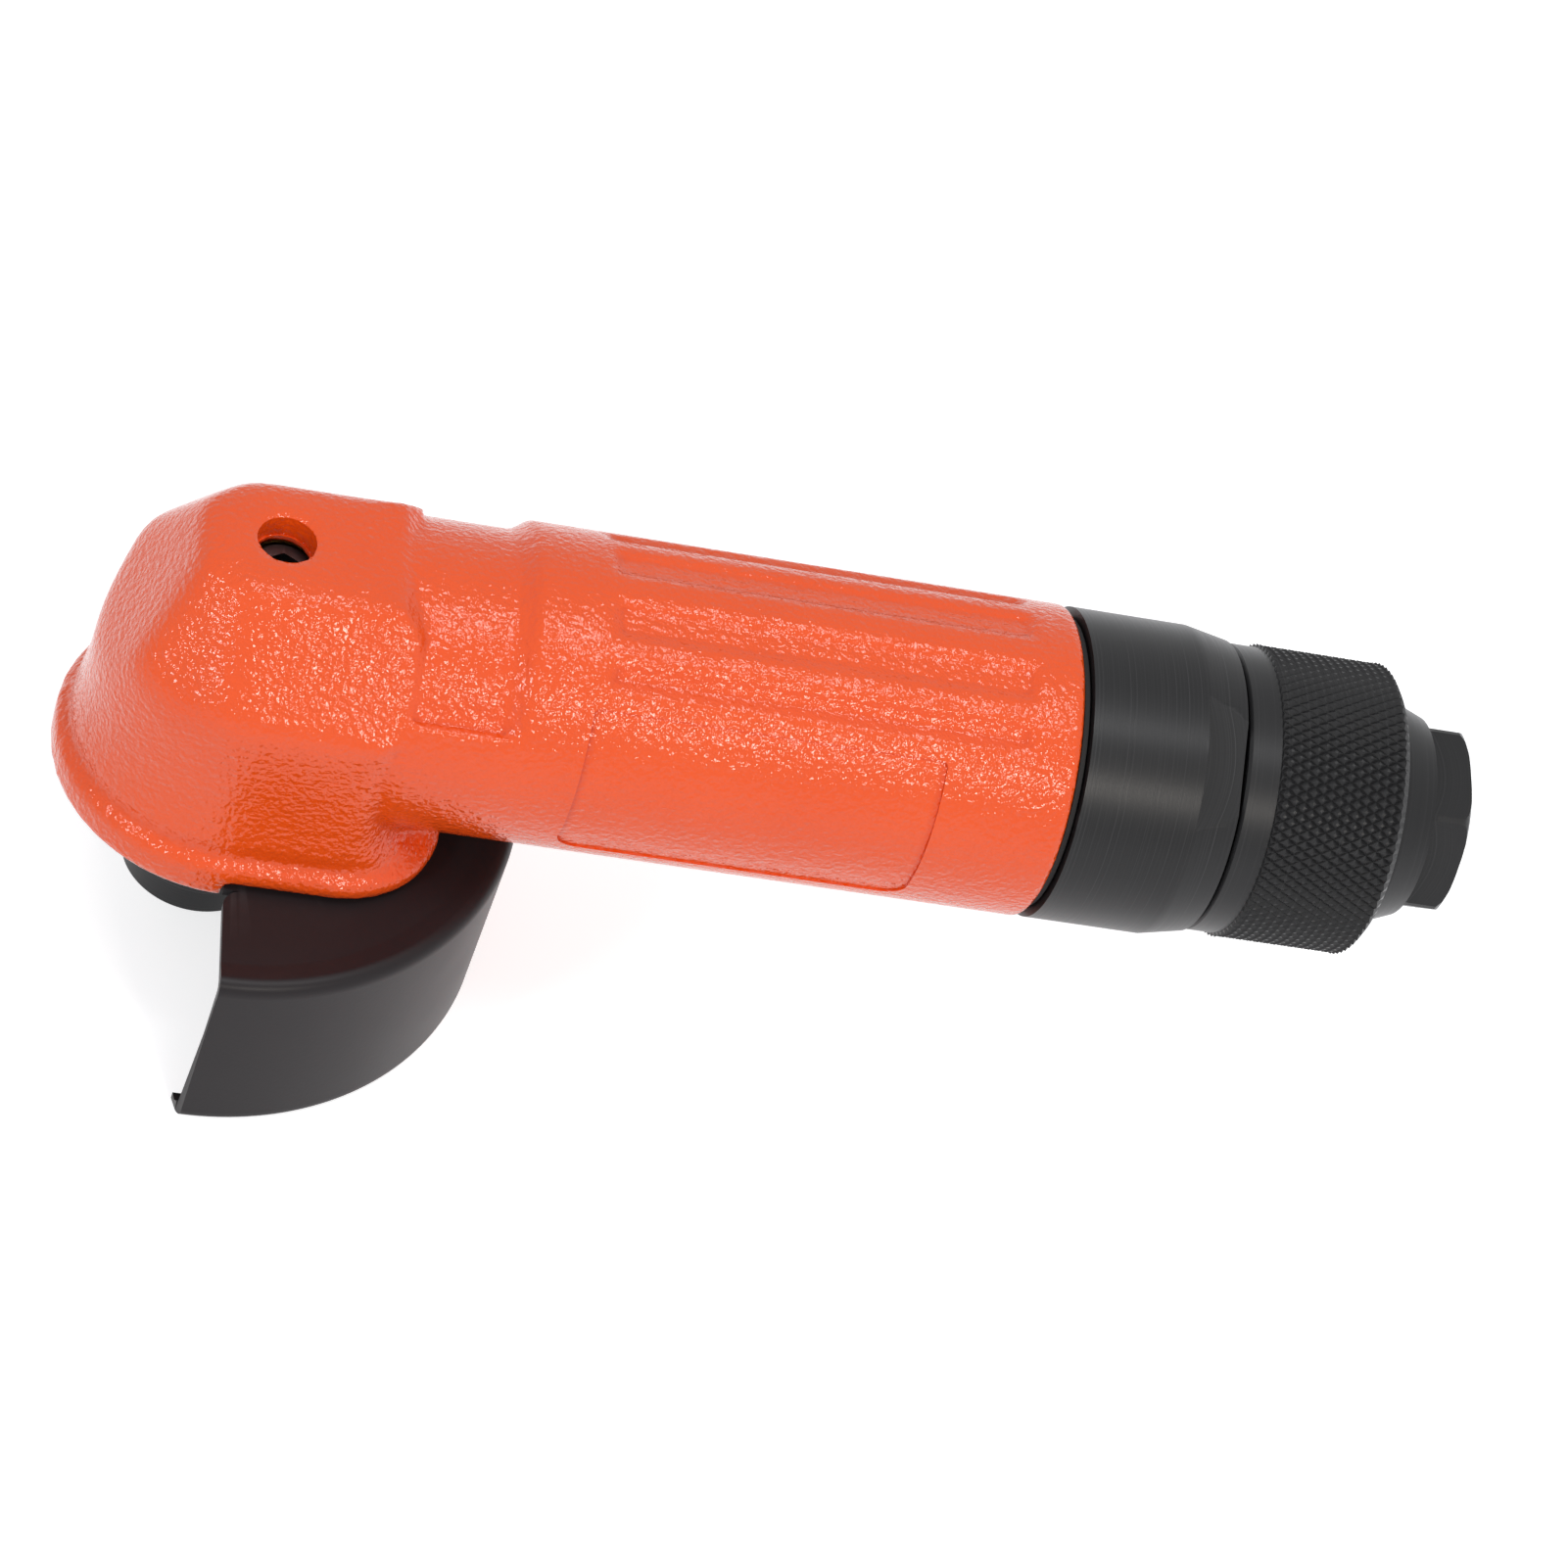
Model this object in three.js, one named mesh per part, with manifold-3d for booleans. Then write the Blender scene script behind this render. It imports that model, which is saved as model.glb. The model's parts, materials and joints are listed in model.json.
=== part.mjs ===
// Pneumatic angle grinder for 100 mm wheels, with a roll throttle at the air inlet.
// Millimetres. X runs along the handle from the spindle to the air inlet, Z is up, and the
// camera side is -Y. The driving dimensions are measured from the point where the handle's
// axis crosses the spindle's axis. The whole tool is then raised, so that the part's origin
// is the centre of the spindle's lower end.

import * as THREE from "three";
import { mergeVertices } from "three/addons/utils/BufferGeometryUtils.js";
import Module from "manifold-3d";

const wasm = await Module();
wasm.setup();

// Clearances and cutter overrun
const seatGap = 0.3;
const runGap = 0.4;
const overrun = 2;

// Facets round a circle
const bodySides = 40;
const boreSides = 28;
const smallSides = 20;
const bearingSides = 20;
const tinySides = 8;
const holeSides = 6;
const ballSides = 6;
const ballLevels = 4;

// Handle of the housing
const handleRadius = 28;
const handleRear = 140.3;
const rimChamfer = 1;
const neckEnd = 40.5;
const neckStepLength = 2.6;
const neckDepth = 2.1;
const neckSaddleAngle = 63;
const neckBlendLength = 8;
const neckBlendDepth = 4;
const fluteStart = 56.2;
const fluteEnd = 131.8;
const fluteDepth = 1.2;
const crownFluteWidth = 7;
const sideFluteWidth = 4;
const crownFluteAngle = 13.5;
const sideFluteAngle = 35;
const panelStart = 54.3;
const panelEnd = 117;
const panelDepth = 0.4;
const panelTopAngle = 47.5;
const panelBottomAngle = 101;

// Head of the housing
const headTop = 26.7;
const headRadius = 28;
const headRear = 23.5;
const headCorner = 4;
const sideFacetReach = 12.5;
const sideFacetLean = 39;
const frontFacetReach = 14.4;
const frontFacetLean = 24;
const cornerFacetReach = 14.2;
const cornerFacetLean = 34;
const cornerFacetTurn = 53;
const rearFacetReach = 19.5;
const rearFacetLean = 50;
const facetCutterSize = 80;
const lockHoleRadius = 4.9;
const lockHoleOffset = 0.6;

// Base flange of the head
const flangeFront = 31.1;
const flangeSide = 31;
const flangeRear = 37.8;
const flangeCorner = 19;
const flangeDrop = 1.7;
const flangeThickness = 4.8;
const flangeEdge = 1.1;
const coveRise = 13;
const coveShares = [0.3, 0.62, 0.85];
const coveRiseShares = [0.14, 0.36, 0.64];
const frontLipDrop = 3.1;

// Cavities of the housing
const gearCavityRadius = 24;
const gearCavityTop = 7.6;
const spindleCavityRadius = 13;
const bushRoofThickness = 6.5;
const handleWall = 6;
const motorBoreFront = 30;
const pinionBoreRadius = 16.8;
const pinionCavityFront = 7.6;
const pinionCavityFrontRadius = 11.8;
const pinionCavityFlareAt = 11.8;
const pinionCavityFlareEnd = 18.4;

// Bevel gears
const toothModule = 2;
const gearTeeth = 20;
const pinionTeeth = 14;
const toothFace = 8;
const toothBacklash = 0.5;
const dedendumShare = 1.22;
const pressureAngle = 20;
const gearBlankShare = 0.686;
const gearHubRadius = 11;
const pinionBlankThickness = 3;
const pinionHubRadius = 8.5;
const pinionHubLength = 4;
const pinionNutLength = 3.4;
const pinionNutSetback = 1.2;
const pinionNutFlats = 11;

// Spindle, bush and wheel clamping
const spindleTipStand = 0.9;
const spindleRadius = 7.5;
const spindleTopRadius = 5.5;
const spindleTopStart = 11.4;
const spindleCollarRadius = 9.6;
const spindleCollarLength = 9.4;
const spindleThreadRadius = 5;
const spindleKeySocketFlats = 5;
const spindleKeySocketDepth = 6;
const tipChamfer = 0.8;
const bushOuterRadius = 9;
const bushLength = 8;
const keyWidth = 3;
const keyHeight = 3;
const keyLength = 7;
const backingFlangeRadius = 15.6;
const backingFlangeThickness = 5.5;
const backingFlangeHubRadius = 12;
const backingFlangeRimThickness = 3;
const backingFlangeContactWidth = 1.7;
const backingFlangeRelief = 0.6;
const flangeNutRadius = 13.6;
const flangeNutThickness = 8;
const nutSpannerHoleRadius = 2;
const nutSpannerHoleReach = 9.5;
const nutSpannerHoleDepth = 3;

// Bearing retainer under the head
const retainerRadius = 27;
const retainerThickness = 2.4;
const retainerEdge = 0.8;
const retainerSpigotHeight = 7;
const retainerLipThickness = 1.8;
const retainerLipRadius = 14;

// Ball bearings
const spindleBearingOuterRadius = 17.4;
const spindleBearingWidth = 10.4;
const spindleBallRadius = 3;
const rotorBearingOuterRadius = 10.7;
const rotorBearingWidth = 7.4;
const rotorBallRadius = 1.65;
const ringLand = 0.3;
const ballCount = 6;
const cageThickness = 1;
const cageWidthShare = 0.6;

// Motor
const rotorLength = 69.4;
const rotorCoreShare = 0.469;
const rotorShaftRadius = 5;
const rotorShaftTail = 1.4;
const vaneCount = 5;
const vaneThickness = 1.6;
const linerWall = 3.5;
const linerOffset = 1.6;
const linerPortWidth = 9;
const linerPortLength = 3;
const linerPortCount = 4;
const linerPortPitch = 12;
const endPlateThickness = 9.7;
const endPlateWeb = 1.6;
const endPlateShaftGap = 1.2;
const endPlatePortRadius = 2.4;
const endPlatePortInset = 6.7;
const linerPinRadius = 1.2;
const linerPinLength = 8;
const linerPinInset = 2.5;

// Rear cap and gasket
const gasketThickness = 1;
const gasketInset = 0.8;
const capInset = 0.1;
const capEdge = 0.5;
const capTaperLength = 7.6;
const capTaperDepth = 1.5;
const capLength = 29;
const capSpigotWall = 5.7;
const capChamberLength = 14.1;
const capFlatDepth = 2.8;
const capFlatLength = 7.6;
const capFlatAngle = 33.5;
const exhaustPortRadius = 1.5;
const exhaustPortReachShare = 0.42;
const exhaustPortCount = 6;
const exhaustPortDepth = 16;

// Inlet body
const stemRadius = 15;
const stemFrontStep = 2;
const stemBoreRadius = 8;
const throatRadius = 4.6;
const throatLength = 5;
const coneRadius = 20.6;
const coneEndRadius = 17.6;
const coneLength = 7.4;
const coneRim = 1.2;
const hexFlats = 32;
const hexLength = 7.4;
const hexTurn = 40.5;
const hexChamfer = 0.6;
const inletThreadRadius = 8.5;
const inletThreadLength = 16;
const inletChamfer = 1;
const screenThickness = 1.2;
const screenHoleRadius = 1.1;
const screenHoleReach = 5;
const screenHoleCount = 6;
const sealSection = 1.2;
const sealGrooveDepth = 1.5;
const sealInset = 4;

// Throttle ring and its cam
const ringFrontGap = 0.7;
const ringCollarRadius = 25.9;
const ringCollarLength = 6;
const ringLength = 30;
const knurlRadius = 26.6;
const knurlDepth = 0.8;
const knurlDiamonds = 24;
const knurlRows = 4;
const ringRearChamfer = 0.9;
const ringMouthRadius = 24.6;
const throttleTurn = 60;
const spoolTravel = 3;
const camDepth = 3;

// Throttle spool
const pinRadius = 1.5;
const pinSetback = 14.7;
const pinTopClearance = 0.6;
const spoolRadius = 7.6;
const spoolLandHalfLength = 6;
const spoolRodRadius = 3.2;
const spoolFluteRadius = 2.2;
const spoolFluteCount = 3;
const poppetRadius = 6.2;
const poppetThickness = 2.5;
const valveSeatThickness = 2.6;

// Guard
const guardRadius = 52.8;
const guardSheet = 1.6;
const guardHeight = 37.5;
const guardBend = 2.6;
const guardBead = 0.5;
const guardLip = 2;
const guardCornerRadius = 3.5;
const guardScrewAt = 27;
const guardScrewSide = 22.5;
const guardScrewRadius = 2.2;
const guardScrewLength = 8;
const guardScrewHeadRadius = 4;
const guardScrewHeadHeight = 2.8;
const guardScrewSocketFlats = 3;
const guardScrewSocketDepth = 1.6;

const degrees = Math.PI / 180;
const weldDistance = 0.0001;

// Solids from three.js geometry, and booleans on them

function solidFrom(geometry) {
  const bare = geometry.clone();
  bare.deleteAttribute("normal");
  bare.deleteAttribute("uv");
  const merged = mergeVertices(bare, weldDistance);
  const index = merged.index.array;
  const kept = [];
  for (let i = 0; i < index.length; i += 3) {
    const [a, b, c] = [index[i], index[i + 1], index[i + 2]];
    if (a !== b && b !== c && c !== a) kept.push(a, b, c);
  }
  const vertProperties = new Float32Array(merged.attributes.position.array);
  const triVerts = new Uint32Array(kept);
  return new wasm.Manifold(new wasm.Mesh({ numProp: 3, vertProperties, triVerts }));
}

function geometryFrom(solid) {
  const mesh = solid.getMesh();
  const geometry = new THREE.BufferGeometry();
  geometry.setAttribute("position", new THREE.BufferAttribute(new Float32Array(mesh.vertProperties), 3));
  geometry.setIndex(new THREE.BufferAttribute(new Uint32Array(mesh.triVerts), 1));
  const faceted = geometry.toNonIndexed();
  faceted.computeVertexNormals();
  return faceted;
}

const join = (...solids) => solids.reduce((whole, next) => whole.add(next));
const cut = (solid, ...cutters) => cutters.reduce((rest, cutter) => rest.subtract(cutter), solid);
const common = (first, second) => first.intersect(second);

// A profile is a list of [along, radius] points, out along the skin and back along the bore.
function lathe(profile, sides) {
  const points = profile.map(([along, radius]) => new THREE.Vector2(radius, along));
  return new THREE.LatheGeometry(points, sides);
}

const turnedX = (profile, sides) => solidFrom(lathe(profile, sides).rotateZ(-Math.PI / 2));
const turnedZ = (profile, sides) => solidFrom(lathe(profile, sides).rotateX(Math.PI / 2));

function rodX(radius, from, to, sides) {
  return turnedX([[from, 0], [from, radius], [to, radius], [to, 0]], sides);
}

function rodZ(radius, from, to, sides) {
  return turnedZ([[from, 0], [from, radius], [to, radius], [to, 0]], sides);
}

function ringProfile(inner, outer, from, to) {
  return [[from, inner], [from, outer], [to, outer], [to, inner], [from, inner]];
}

function box(fromX, toX, fromY, toY, fromZ, toZ) {
  const geometry = new THREE.BoxGeometry(toX - fromX, toY - fromY, toZ - fromZ);
  return solidFrom(geometry.translate((fromX + toX) / 2, (fromY + toY) / 2, (fromZ + toZ) / 2));
}

// A hexagonal bar along X with a flat-to-flat size, turned so that an edge lies at an angle.
function hexBarX(flats, from, to, edgeAngle) {
  const corner = flats / Math.sqrt(3);
  const bar = new THREE.CylinderGeometry(corner, corner, to - from, 6);
  bar.rotateZ(-Math.PI / 2).rotateX(edgeAngle * degrees);
  return solidFrom(bar.translate((from + to) / 2, 0, 0));
}

function hexBarZ(flats, from, to) {
  const corner = flats / Math.sqrt(3);
  const bar = new THREE.CylinderGeometry(corner, corner, to - from, 6);
  return solidFrom(bar.rotateX(Math.PI / 2).translate(0, 0, (from + to) / 2));
}

// A closed solid through rings that all have the same number of points, capped on centre points.
function loft(rings, startCentre, endCentre) {
  const count = rings[0].length;
  const corners = [...rings.flat(), startCentre, endCentre];
  const start = corners.length - 2;
  const end = corners.length - 1;
  const index = [];
  for (let side = 0; side < count; side += 1) {
    const next = (side + 1) % count;
    index.push(start, next, side);
    for (let level = 0; level + 1 < rings.length; level += 1) {
      const low = level * count;
      const high = low + count;
      index.push(low + side, low + next, high + next);
      index.push(low + side, high + next, high + side);
    }
    const last = (rings.length - 1) * count;
    index.push(last + side, last + next, end);
  }
  const geometry = new THREE.BufferGeometry();
  geometry.setAttribute("position", new THREE.Float32BufferAttribute(corners.flat(), 3));
  geometry.setIndex(index);
  return solidFrom(geometry);
}

// Named meshes in one group, each with its own material

const tool = new THREE.Group();

function addPiece(group, name, solid, color, roughness, metalness) {
  const material = new THREE.MeshStandardMaterial({ color, roughness, metalness });
  const mesh = new THREE.Mesh(geometryFrom(solid), material);
  mesh.name = name;
  group.add(mesh);
  return mesh;
}

const paint = [0xee5f32, 0.4, 0.1];
const blackOxide = [0x2b2b2d, 0.42, 0.6];
const guardBlack = [0x2a2625, 0.5, 0.4];
const groundSteel = [0xb9bcc0, 0.25, 0.9];
const darkSteel = [0x5c5e61, 0.4, 0.8];
const brass = [0xb5925a, 0.35, 0.8];
const rubber = [0x1c1c1c, 0.8, 0];
const resin = [0x7a5236, 0.6, 0];

// Radii and stations along the handle and the spindle that several pieces share

const neckRadius = handleRadius - neckDepth;
const motorBoreRadius = handleRadius - handleWall;
const seatRadius = motorBoreRadius - seatGap;
const linerBoreRadius = seatRadius - linerWall;
const rotorRadius = linerBoreRadius - linerOffset - runGap;
const rotorCoreRadius = rotorRadius * rotorCoreShare;
const capRadius = handleRadius - capInset;
const capTaperRadius = capRadius - capTaperDepth;

const gasketFront = handleRear + seatGap;
const capFront = gasketFront + gasketThickness + seatGap;
const capRear = capFront + capLength - seatGap;
const ringFront = capRear + ringFrontGap;
const ringRear = ringFront + ringLength;
const knurlFront = ringFront + ringCollarLength;
const knurlRear = ringRear - ringRearChamfer;
const coneFront = ringRear + runGap;
const hexFront = coneFront + coneLength;
const hexRear = hexFront + hexLength;

const frontPlateFront = motorBoreFront + seatGap;
const frontPlateRear = frontPlateFront + endPlateThickness;
const linerFront = frontPlateRear + seatGap;
const rotorFront = linerFront + runGap;
const rotorRear = rotorFront + rotorLength;
const linerRear = rotorRear + runGap;
const rearPlateFront = linerRear + seatGap;
const rearPlateRear = rearPlateFront + endPlateThickness;
const capSpigotFront = rearPlateRear + seatGap;
const capChamberEnd = capFront + capChamberLength;
const stemFront = capChamberEnd + stemFrontStep;

const flangeBottom = handleRadius + flangeDrop;
const guardBottom = flangeBottom + guardHeight;
const flangeTop = flangeThickness - flangeBottom;
const guardTop = -flangeBottom - seatGap;
const guardUnder = guardTop - guardSheet;
const frontLipBottom = -flangeBottom - frontLipDrop;
const retainerTop = frontLipBottom - seatGap;
const retainerBottom = retainerTop - retainerThickness;
const bearingBottom = retainerBottom + retainerLipThickness + seatGap;
const bearingTop = bearingBottom + spindleBearingWidth;
const collarTop = retainerBottom - runGap;
const backingTop = collarTop - spindleCollarLength;
const backingBottom = backingTop - backingFlangeThickness;
const nutTop = backingBottom - seatGap;
const nutBottom = nutTop - flangeNutThickness;
const spindleReach = spindleTipStand - nutBottom;

const gearPitchRadius = (gearTeeth * toothModule) / 2;
const pinionPitchRadius = (pinionTeeth * toothModule) / 2;
const gearConeLength = Math.hypot(pinionPitchRadius, gearPitchRadius);
const bushTop = headTop - bushRoofThickness - seatGap;
const bushBottom = bushTop - bushLength;

// Housing: one casting of handle, neck, head and base flange

// One level of the head's plan: a half ellipse in front, straight sides and rounded rear corners.
function headOutline(z, front, side, rear, corner) {
  const frontSteps = 20;
  const cornerSteps = 3;
  const points = [];
  for (let step = 0; step <= frontSteps; step += 1) {
    const angle = ((step / frontSteps) * 180 + 90) * degrees;
    points.push([front * Math.cos(angle), side * Math.sin(angle), z]);
  }
  for (const [turn, sign] of [[-90, -1], [0, 1]]) {
    for (let step = 0; step <= cornerSteps; step += 1) {
      const angle = (turn + (step / cornerSteps) * 90) * degrees;
      const x = rear - corner + corner * Math.cos(angle);
      points.push([x, sign * (side - corner) + corner * Math.sin(angle), z]);
    }
  }
  return points;
}

// The flange's rounded edge, the cove above it, and the upright wall of the head.
function headBlank() {
  const inset = (amount, z) =>
    headOutline(z, flangeFront - amount, flangeSide - amount, flangeRear - amount, flangeCorner);
  const rings = [
    inset(flangeEdge, -flangeBottom),
    inset(0, flangeEdge - flangeBottom),
    inset(0, flangeTop - flangeEdge),
    inset(flangeEdge, flangeTop),
  ];
  coveShares.forEach((share, i) => {
    const blend = (from, to) => from + (to - from) * share;
    const z = flangeTop + coveRise * coveRiseShares[i];
    const front = blend(flangeFront - flangeEdge, headRadius);
    const side = blend(flangeSide - flangeEdge, headRadius);
    const rear = blend(flangeRear - flangeEdge, headRear);
    rings.push(headOutline(z, front, side, rear, blend(flangeCorner, headCorner)));
  });
  rings.push(headOutline(flangeTop + coveRise, headRadius, headRadius, headRear, headCorner));
  rings.push(headOutline(headTop, headRadius, headRadius, headRear, headCorner));
  return loft(rings, [0, 0, -flangeBottom], [0, 0, headTop]);
}

// A block whose inner face is a facet plane: turned from the front, leaning back from upright.
function facetCutter(turn, lean, reach) {
  const block = new THREE.BoxGeometry(facetCutterSize, facetCutterSize, facetCutterSize);
  block.translate(-facetCutterSize / 2, 0, 0).rotateY(lean * degrees).translate(-reach, 0, 0);
  return solidFrom(block.rotateZ(turn * degrees).translate(0, 0, headTop));
}

function frontLip() {
  const bottom = headOutline(
    frontLipBottom, flangeFront - flangeEdge, flangeSide - flangeEdge, flangeRear, flangeCorner);
  const middle = headOutline(
    frontLipBottom + flangeEdge, flangeFront, flangeSide, flangeRear, flangeCorner);
  const top = headOutline(
    flangeEdge - flangeBottom, flangeFront, flangeSide, flangeRear, flangeCorner);
  const whole = loft([bottom, middle, top], [0, 0, frontLipBottom], [0, 0, flangeEdge - flangeBottom]);
  return cut(whole, box(0, flangeRear + overrun, -flangeFront, flangeFront,
    frontLipBottom - overrun, flangeBottom));
}

// The lower side of the handle runs on into the head; a saddle is cut over the neck's top.
function handleSkin() {
  const skin = turnedX([
    [headRear - neckBlendLength, 0],
    [headRear - neckBlendLength, handleRadius - neckBlendDepth],
    [headRear, handleRadius], [handleRear - rimChamfer, handleRadius],
    [handleRear, handleRadius - rimChamfer], [handleRear, 0],
  ], bodySides);
  const outer = handleRadius + overrun;
  const stepSlope = neckStepLength / (handleRadius - neckRadius);
  const saddleShell = turnedX([
    [0, neckRadius], [0, outer], [neckEnd + (outer - neckRadius) * stepSlope, outer],
    [neckEnd, neckRadius], [0, neckRadius],
  ], bodySides);
  const saddleWedge = wedgeX(-neckSaddleAngle, neckSaddleAngle, 0, handleRear);
  return cut(skin, common(saddleShell, saddleWedge));
}

// A wedge about the handle's axis. Its angles run from the crown toward -Y.
function wedgeX(fromAngle, toAngle, fromX, toX) {
  const reach = handleRadius * 2;
  const edge = (angle) => new THREE.Vector2(
    -reach * Math.sin(angle * degrees), reach * Math.cos(angle * degrees));
  const outline = new THREE.Shape([
    new THREE.Vector2(), edge(fromAngle), edge((fromAngle + toAngle) / 2), edge(toAngle),
  ]);
  const wedge = new THREE.ExtrudeGeometry(outline, { depth: toX - fromX, bevelEnabled: false });
  return solidFrom(wedge.rotateX(Math.PI / 2).rotateZ(Math.PI / 2).translate(fromX, 0, 0));
}

function fluteCutter(width, angle) {
  const groove = box(fluteStart, fluteEnd, -width / 2, width / 2,
    handleRadius - fluteDepth, handleRadius + overrun);
  return groove.rotate([angle, 0, 0]);
}

function fluteCutters() {
  const angles = [];
  for (const side of [-1, 1]) {
    for (const half of [0, 180]) {
      angles.push([crownFluteWidth, half + side * crownFluteAngle]);
      angles.push([sideFluteWidth, half + side * sideFluteAngle]);
    }
  }
  return angles.map(([width, angle]) => fluteCutter(width, angle));
}

// The shallow panel on each side, as a sector of a thin shell
function panelCutter(side) {
  const shell = turnedX(
    ringProfile(handleRadius - panelDepth, handleRadius + overrun, panelStart, panelEnd), bodySides);
  return common(shell, wedgeX(side * panelTopAngle, side * panelBottomAngle, 0, handleRear));
}

function housingCavities() {
  const spindleWay = turnedZ([
    [frontLipBottom - overrun, 0], [frontLipBottom - overrun, gearCavityRadius],
    [-gearCavityTop, gearCavityRadius], [-gearCavityTop, spindleCavityRadius],
    [bushBottom, spindleCavityRadius], [bushBottom, bushOuterRadius + seatGap],
    [bushTop + seatGap, bushOuterRadius + seatGap], [bushTop + seatGap, 0],
  ], boreSides);
  const pinionWay = turnedX([
    [pinionCavityFront, 0], [pinionCavityFront, pinionCavityFrontRadius],
    [pinionCavityFlareAt, pinionCavityFrontRadius], [pinionCavityFlareEnd, pinionBoreRadius],
    [motorBoreFront + overrun, pinionBoreRadius], [motorBoreFront + overrun, 0],
  ], boreSides);
  const motorWay = rodX(motorBoreRadius, motorBoreFront, handleRear + overrun, boreSides);
  const lockHole = rodZ(lockHoleRadius, bushTop, headTop + overrun, smallSides)
    .translate([-lockHoleOffset, 0, 0]);
  return [spindleWay, pinionWay, motorWay, lockHole];
}

function guardScrewPlaces() {
  return [-1, 1].map((side) => [guardScrewAt, side * guardScrewSide]);
}

function housing() {
  const facets = [
    facetCutter(0, frontFacetLean, frontFacetReach),
    facetCutter(cornerFacetTurn, cornerFacetLean, cornerFacetReach),
    facetCutter(-cornerFacetTurn, cornerFacetLean, cornerFacetReach),
    facetCutter(90, sideFacetLean, sideFacetReach),
    facetCutter(-90, sideFacetLean, sideFacetReach),
    facetCutter(180, rearFacetLean, rearFacetReach),
  ];
  const skin = join(cut(headBlank(), ...facets), handleSkin(), frontLip());
  const screwHoles = guardScrewPlaces().map(([x, y]) =>
    rodZ(guardScrewRadius + seatGap, -flangeBottom - overrun,
      guardUnder + guardScrewLength + seatGap, tinySides).translate([x, y, 0]));
  return cut(skin, ...fluteCutters(), panelCutter(-1), panelCutter(1), ...housingCavities(),
    ...screwHoles);
}

addPiece(tool, "housing", housing(), ...paint);

// Bevel gears: apex at the origin, teeth on the cone below it, with involute flanks

const involute = (angle) => Math.tan(angle) - angle;

// How far the teeth's roots lie from the apex, along the gear's own axis
function rootDistance(teeth, mateTeeth) {
  const coneAngle = Math.atan2(teeth, mateTeeth);
  return (mateTeeth * toothModule) / 2 + toothModule * dedendumShare * Math.sin(coneAngle);
}

function bevelBlank(teeth, mateTeeth, thickness) {
  const pitchRadius = (teeth * toothModule) / 2;
  const apexDistance = (mateTeeth * toothModule) / 2;
  const coneAngle = Math.atan2(pitchRadius, apexDistance);
  const virtualRadius = pitchRadius / Math.cos(coneAngle);
  const baseRadius = virtualRadius * Math.cos(pressureAngle * degrees);
  const root = virtualRadius - toothModule * dedendumShare;
  const tip = virtualRadius + toothModule;
  const halfTooth = ((Math.PI * toothModule) / 2 - toothBacklash) / (2 * virtualRadius);
  const profileShares = [0, 0.55, 1];
  const flank = profileShares.map((share) => {
    const radius = root + (tip - root) * share;
    const angle = Math.acos(Math.min(1, baseRadius / radius));
    const half = halfTooth + involute(pressureAngle * degrees) - involute(angle);
    return [radius, half / Math.cos(coneAngle)];
  });
  const outline = [...flank.map(([radius, half]) => [radius, -half]), ...flank.slice().reverse()];
  const ringAt = (scale) => {
    const ring = [];
    for (let tooth = 0; tooth < teeth; tooth += 1) {
      for (const [radius, half] of outline) {
        const turn = (tooth / teeth) * 2 * Math.PI + half;
        const r = pitchRadius + (radius - virtualRadius) * Math.cos(coneAngle);
        const z = (radius - virtualRadius) * Math.sin(coneAngle) - apexDistance;
        ring.push([scale * r * Math.cos(turn), scale * r * Math.sin(turn), scale * z]);
      }
    }
    return ring;
  };
  const innerScale = 1 - toothFace / gearConeLength;
  const rootZ = -rootDistance(teeth, mateTeeth);
  const back = rootZ - thickness;
  const backScale = 1 - toothModule / pitchRadius;
  const backRing = ringAt(1).map(([x, y]) => {
    const share = (backScale * pitchRadius) / Math.hypot(x, y);
    return [x * share, y * share, back];
  });
  const solid = loft([backRing, ringAt(1), ringAt(innerScale)], [0, 0, back],
    [0, 0, innerScale * rootZ]);
  return { solid, back };
}

function bevelGear() {
  const room = -rootDistance(gearTeeth, pinionTeeth) - bearingTop - seatGap;
  const { solid, back } = bevelBlank(gearTeeth, pinionTeeth, room * gearBlankShare);
  const hub = rodZ(gearHubRadius, bearingTop + seatGap, back + seatGap, boreSides);
  const bore = rodZ(spindleRadius + seatGap, -spindleReach, 0, smallSides);
  return cut(join(solid, hub), bore, gearKeyway());
}

const gearMiddle = bearingTop + seatGap + keyLength / 2 + seatGap;

function gearKeyway() {
  return box(spindleRadius - keyHeight / 2 - seatGap, spindleRadius + keyHeight / 2 + seatGap,
    -keyWidth / 2 - seatGap, keyWidth / 2 + seatGap,
    bearingTop - overrun, gearMiddle + keyLength / 2 + seatGap);
}

function gearKey() {
  return box(spindleRadius - keyHeight / 2, spindleRadius + keyHeight / 2,
    -keyWidth / 2, keyWidth / 2, gearMiddle - keyLength / 2, gearMiddle + keyLength / 2);
}

function bevelPinion() {
  const { solid, back } = bevelBlank(pinionTeeth, gearTeeth, pinionBlankThickness);
  const hub = rodZ(pinionHubRadius, back - pinionHubLength, back + seatGap, smallSides);
  const bore = rodZ(rotorShaftRadius + seatGap, -pinionBoreRadius * 2, 0, smallSides);
  const halfPitch = 180 / pinionTeeth;
  return cut(join(solid, hub), bore).rotate([0, 0, halfPitch]).rotate([0, -90, 0]);
}

const pinionInnerFace = rootDistance(pinionTeeth, gearTeeth) * (1 - toothFace / gearConeLength);
const pinionNutRear = pinionInnerFace - pinionNutSetback;
const shaftFront = pinionNutRear - pinionNutLength;

// Spindle and what turns with it

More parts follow.
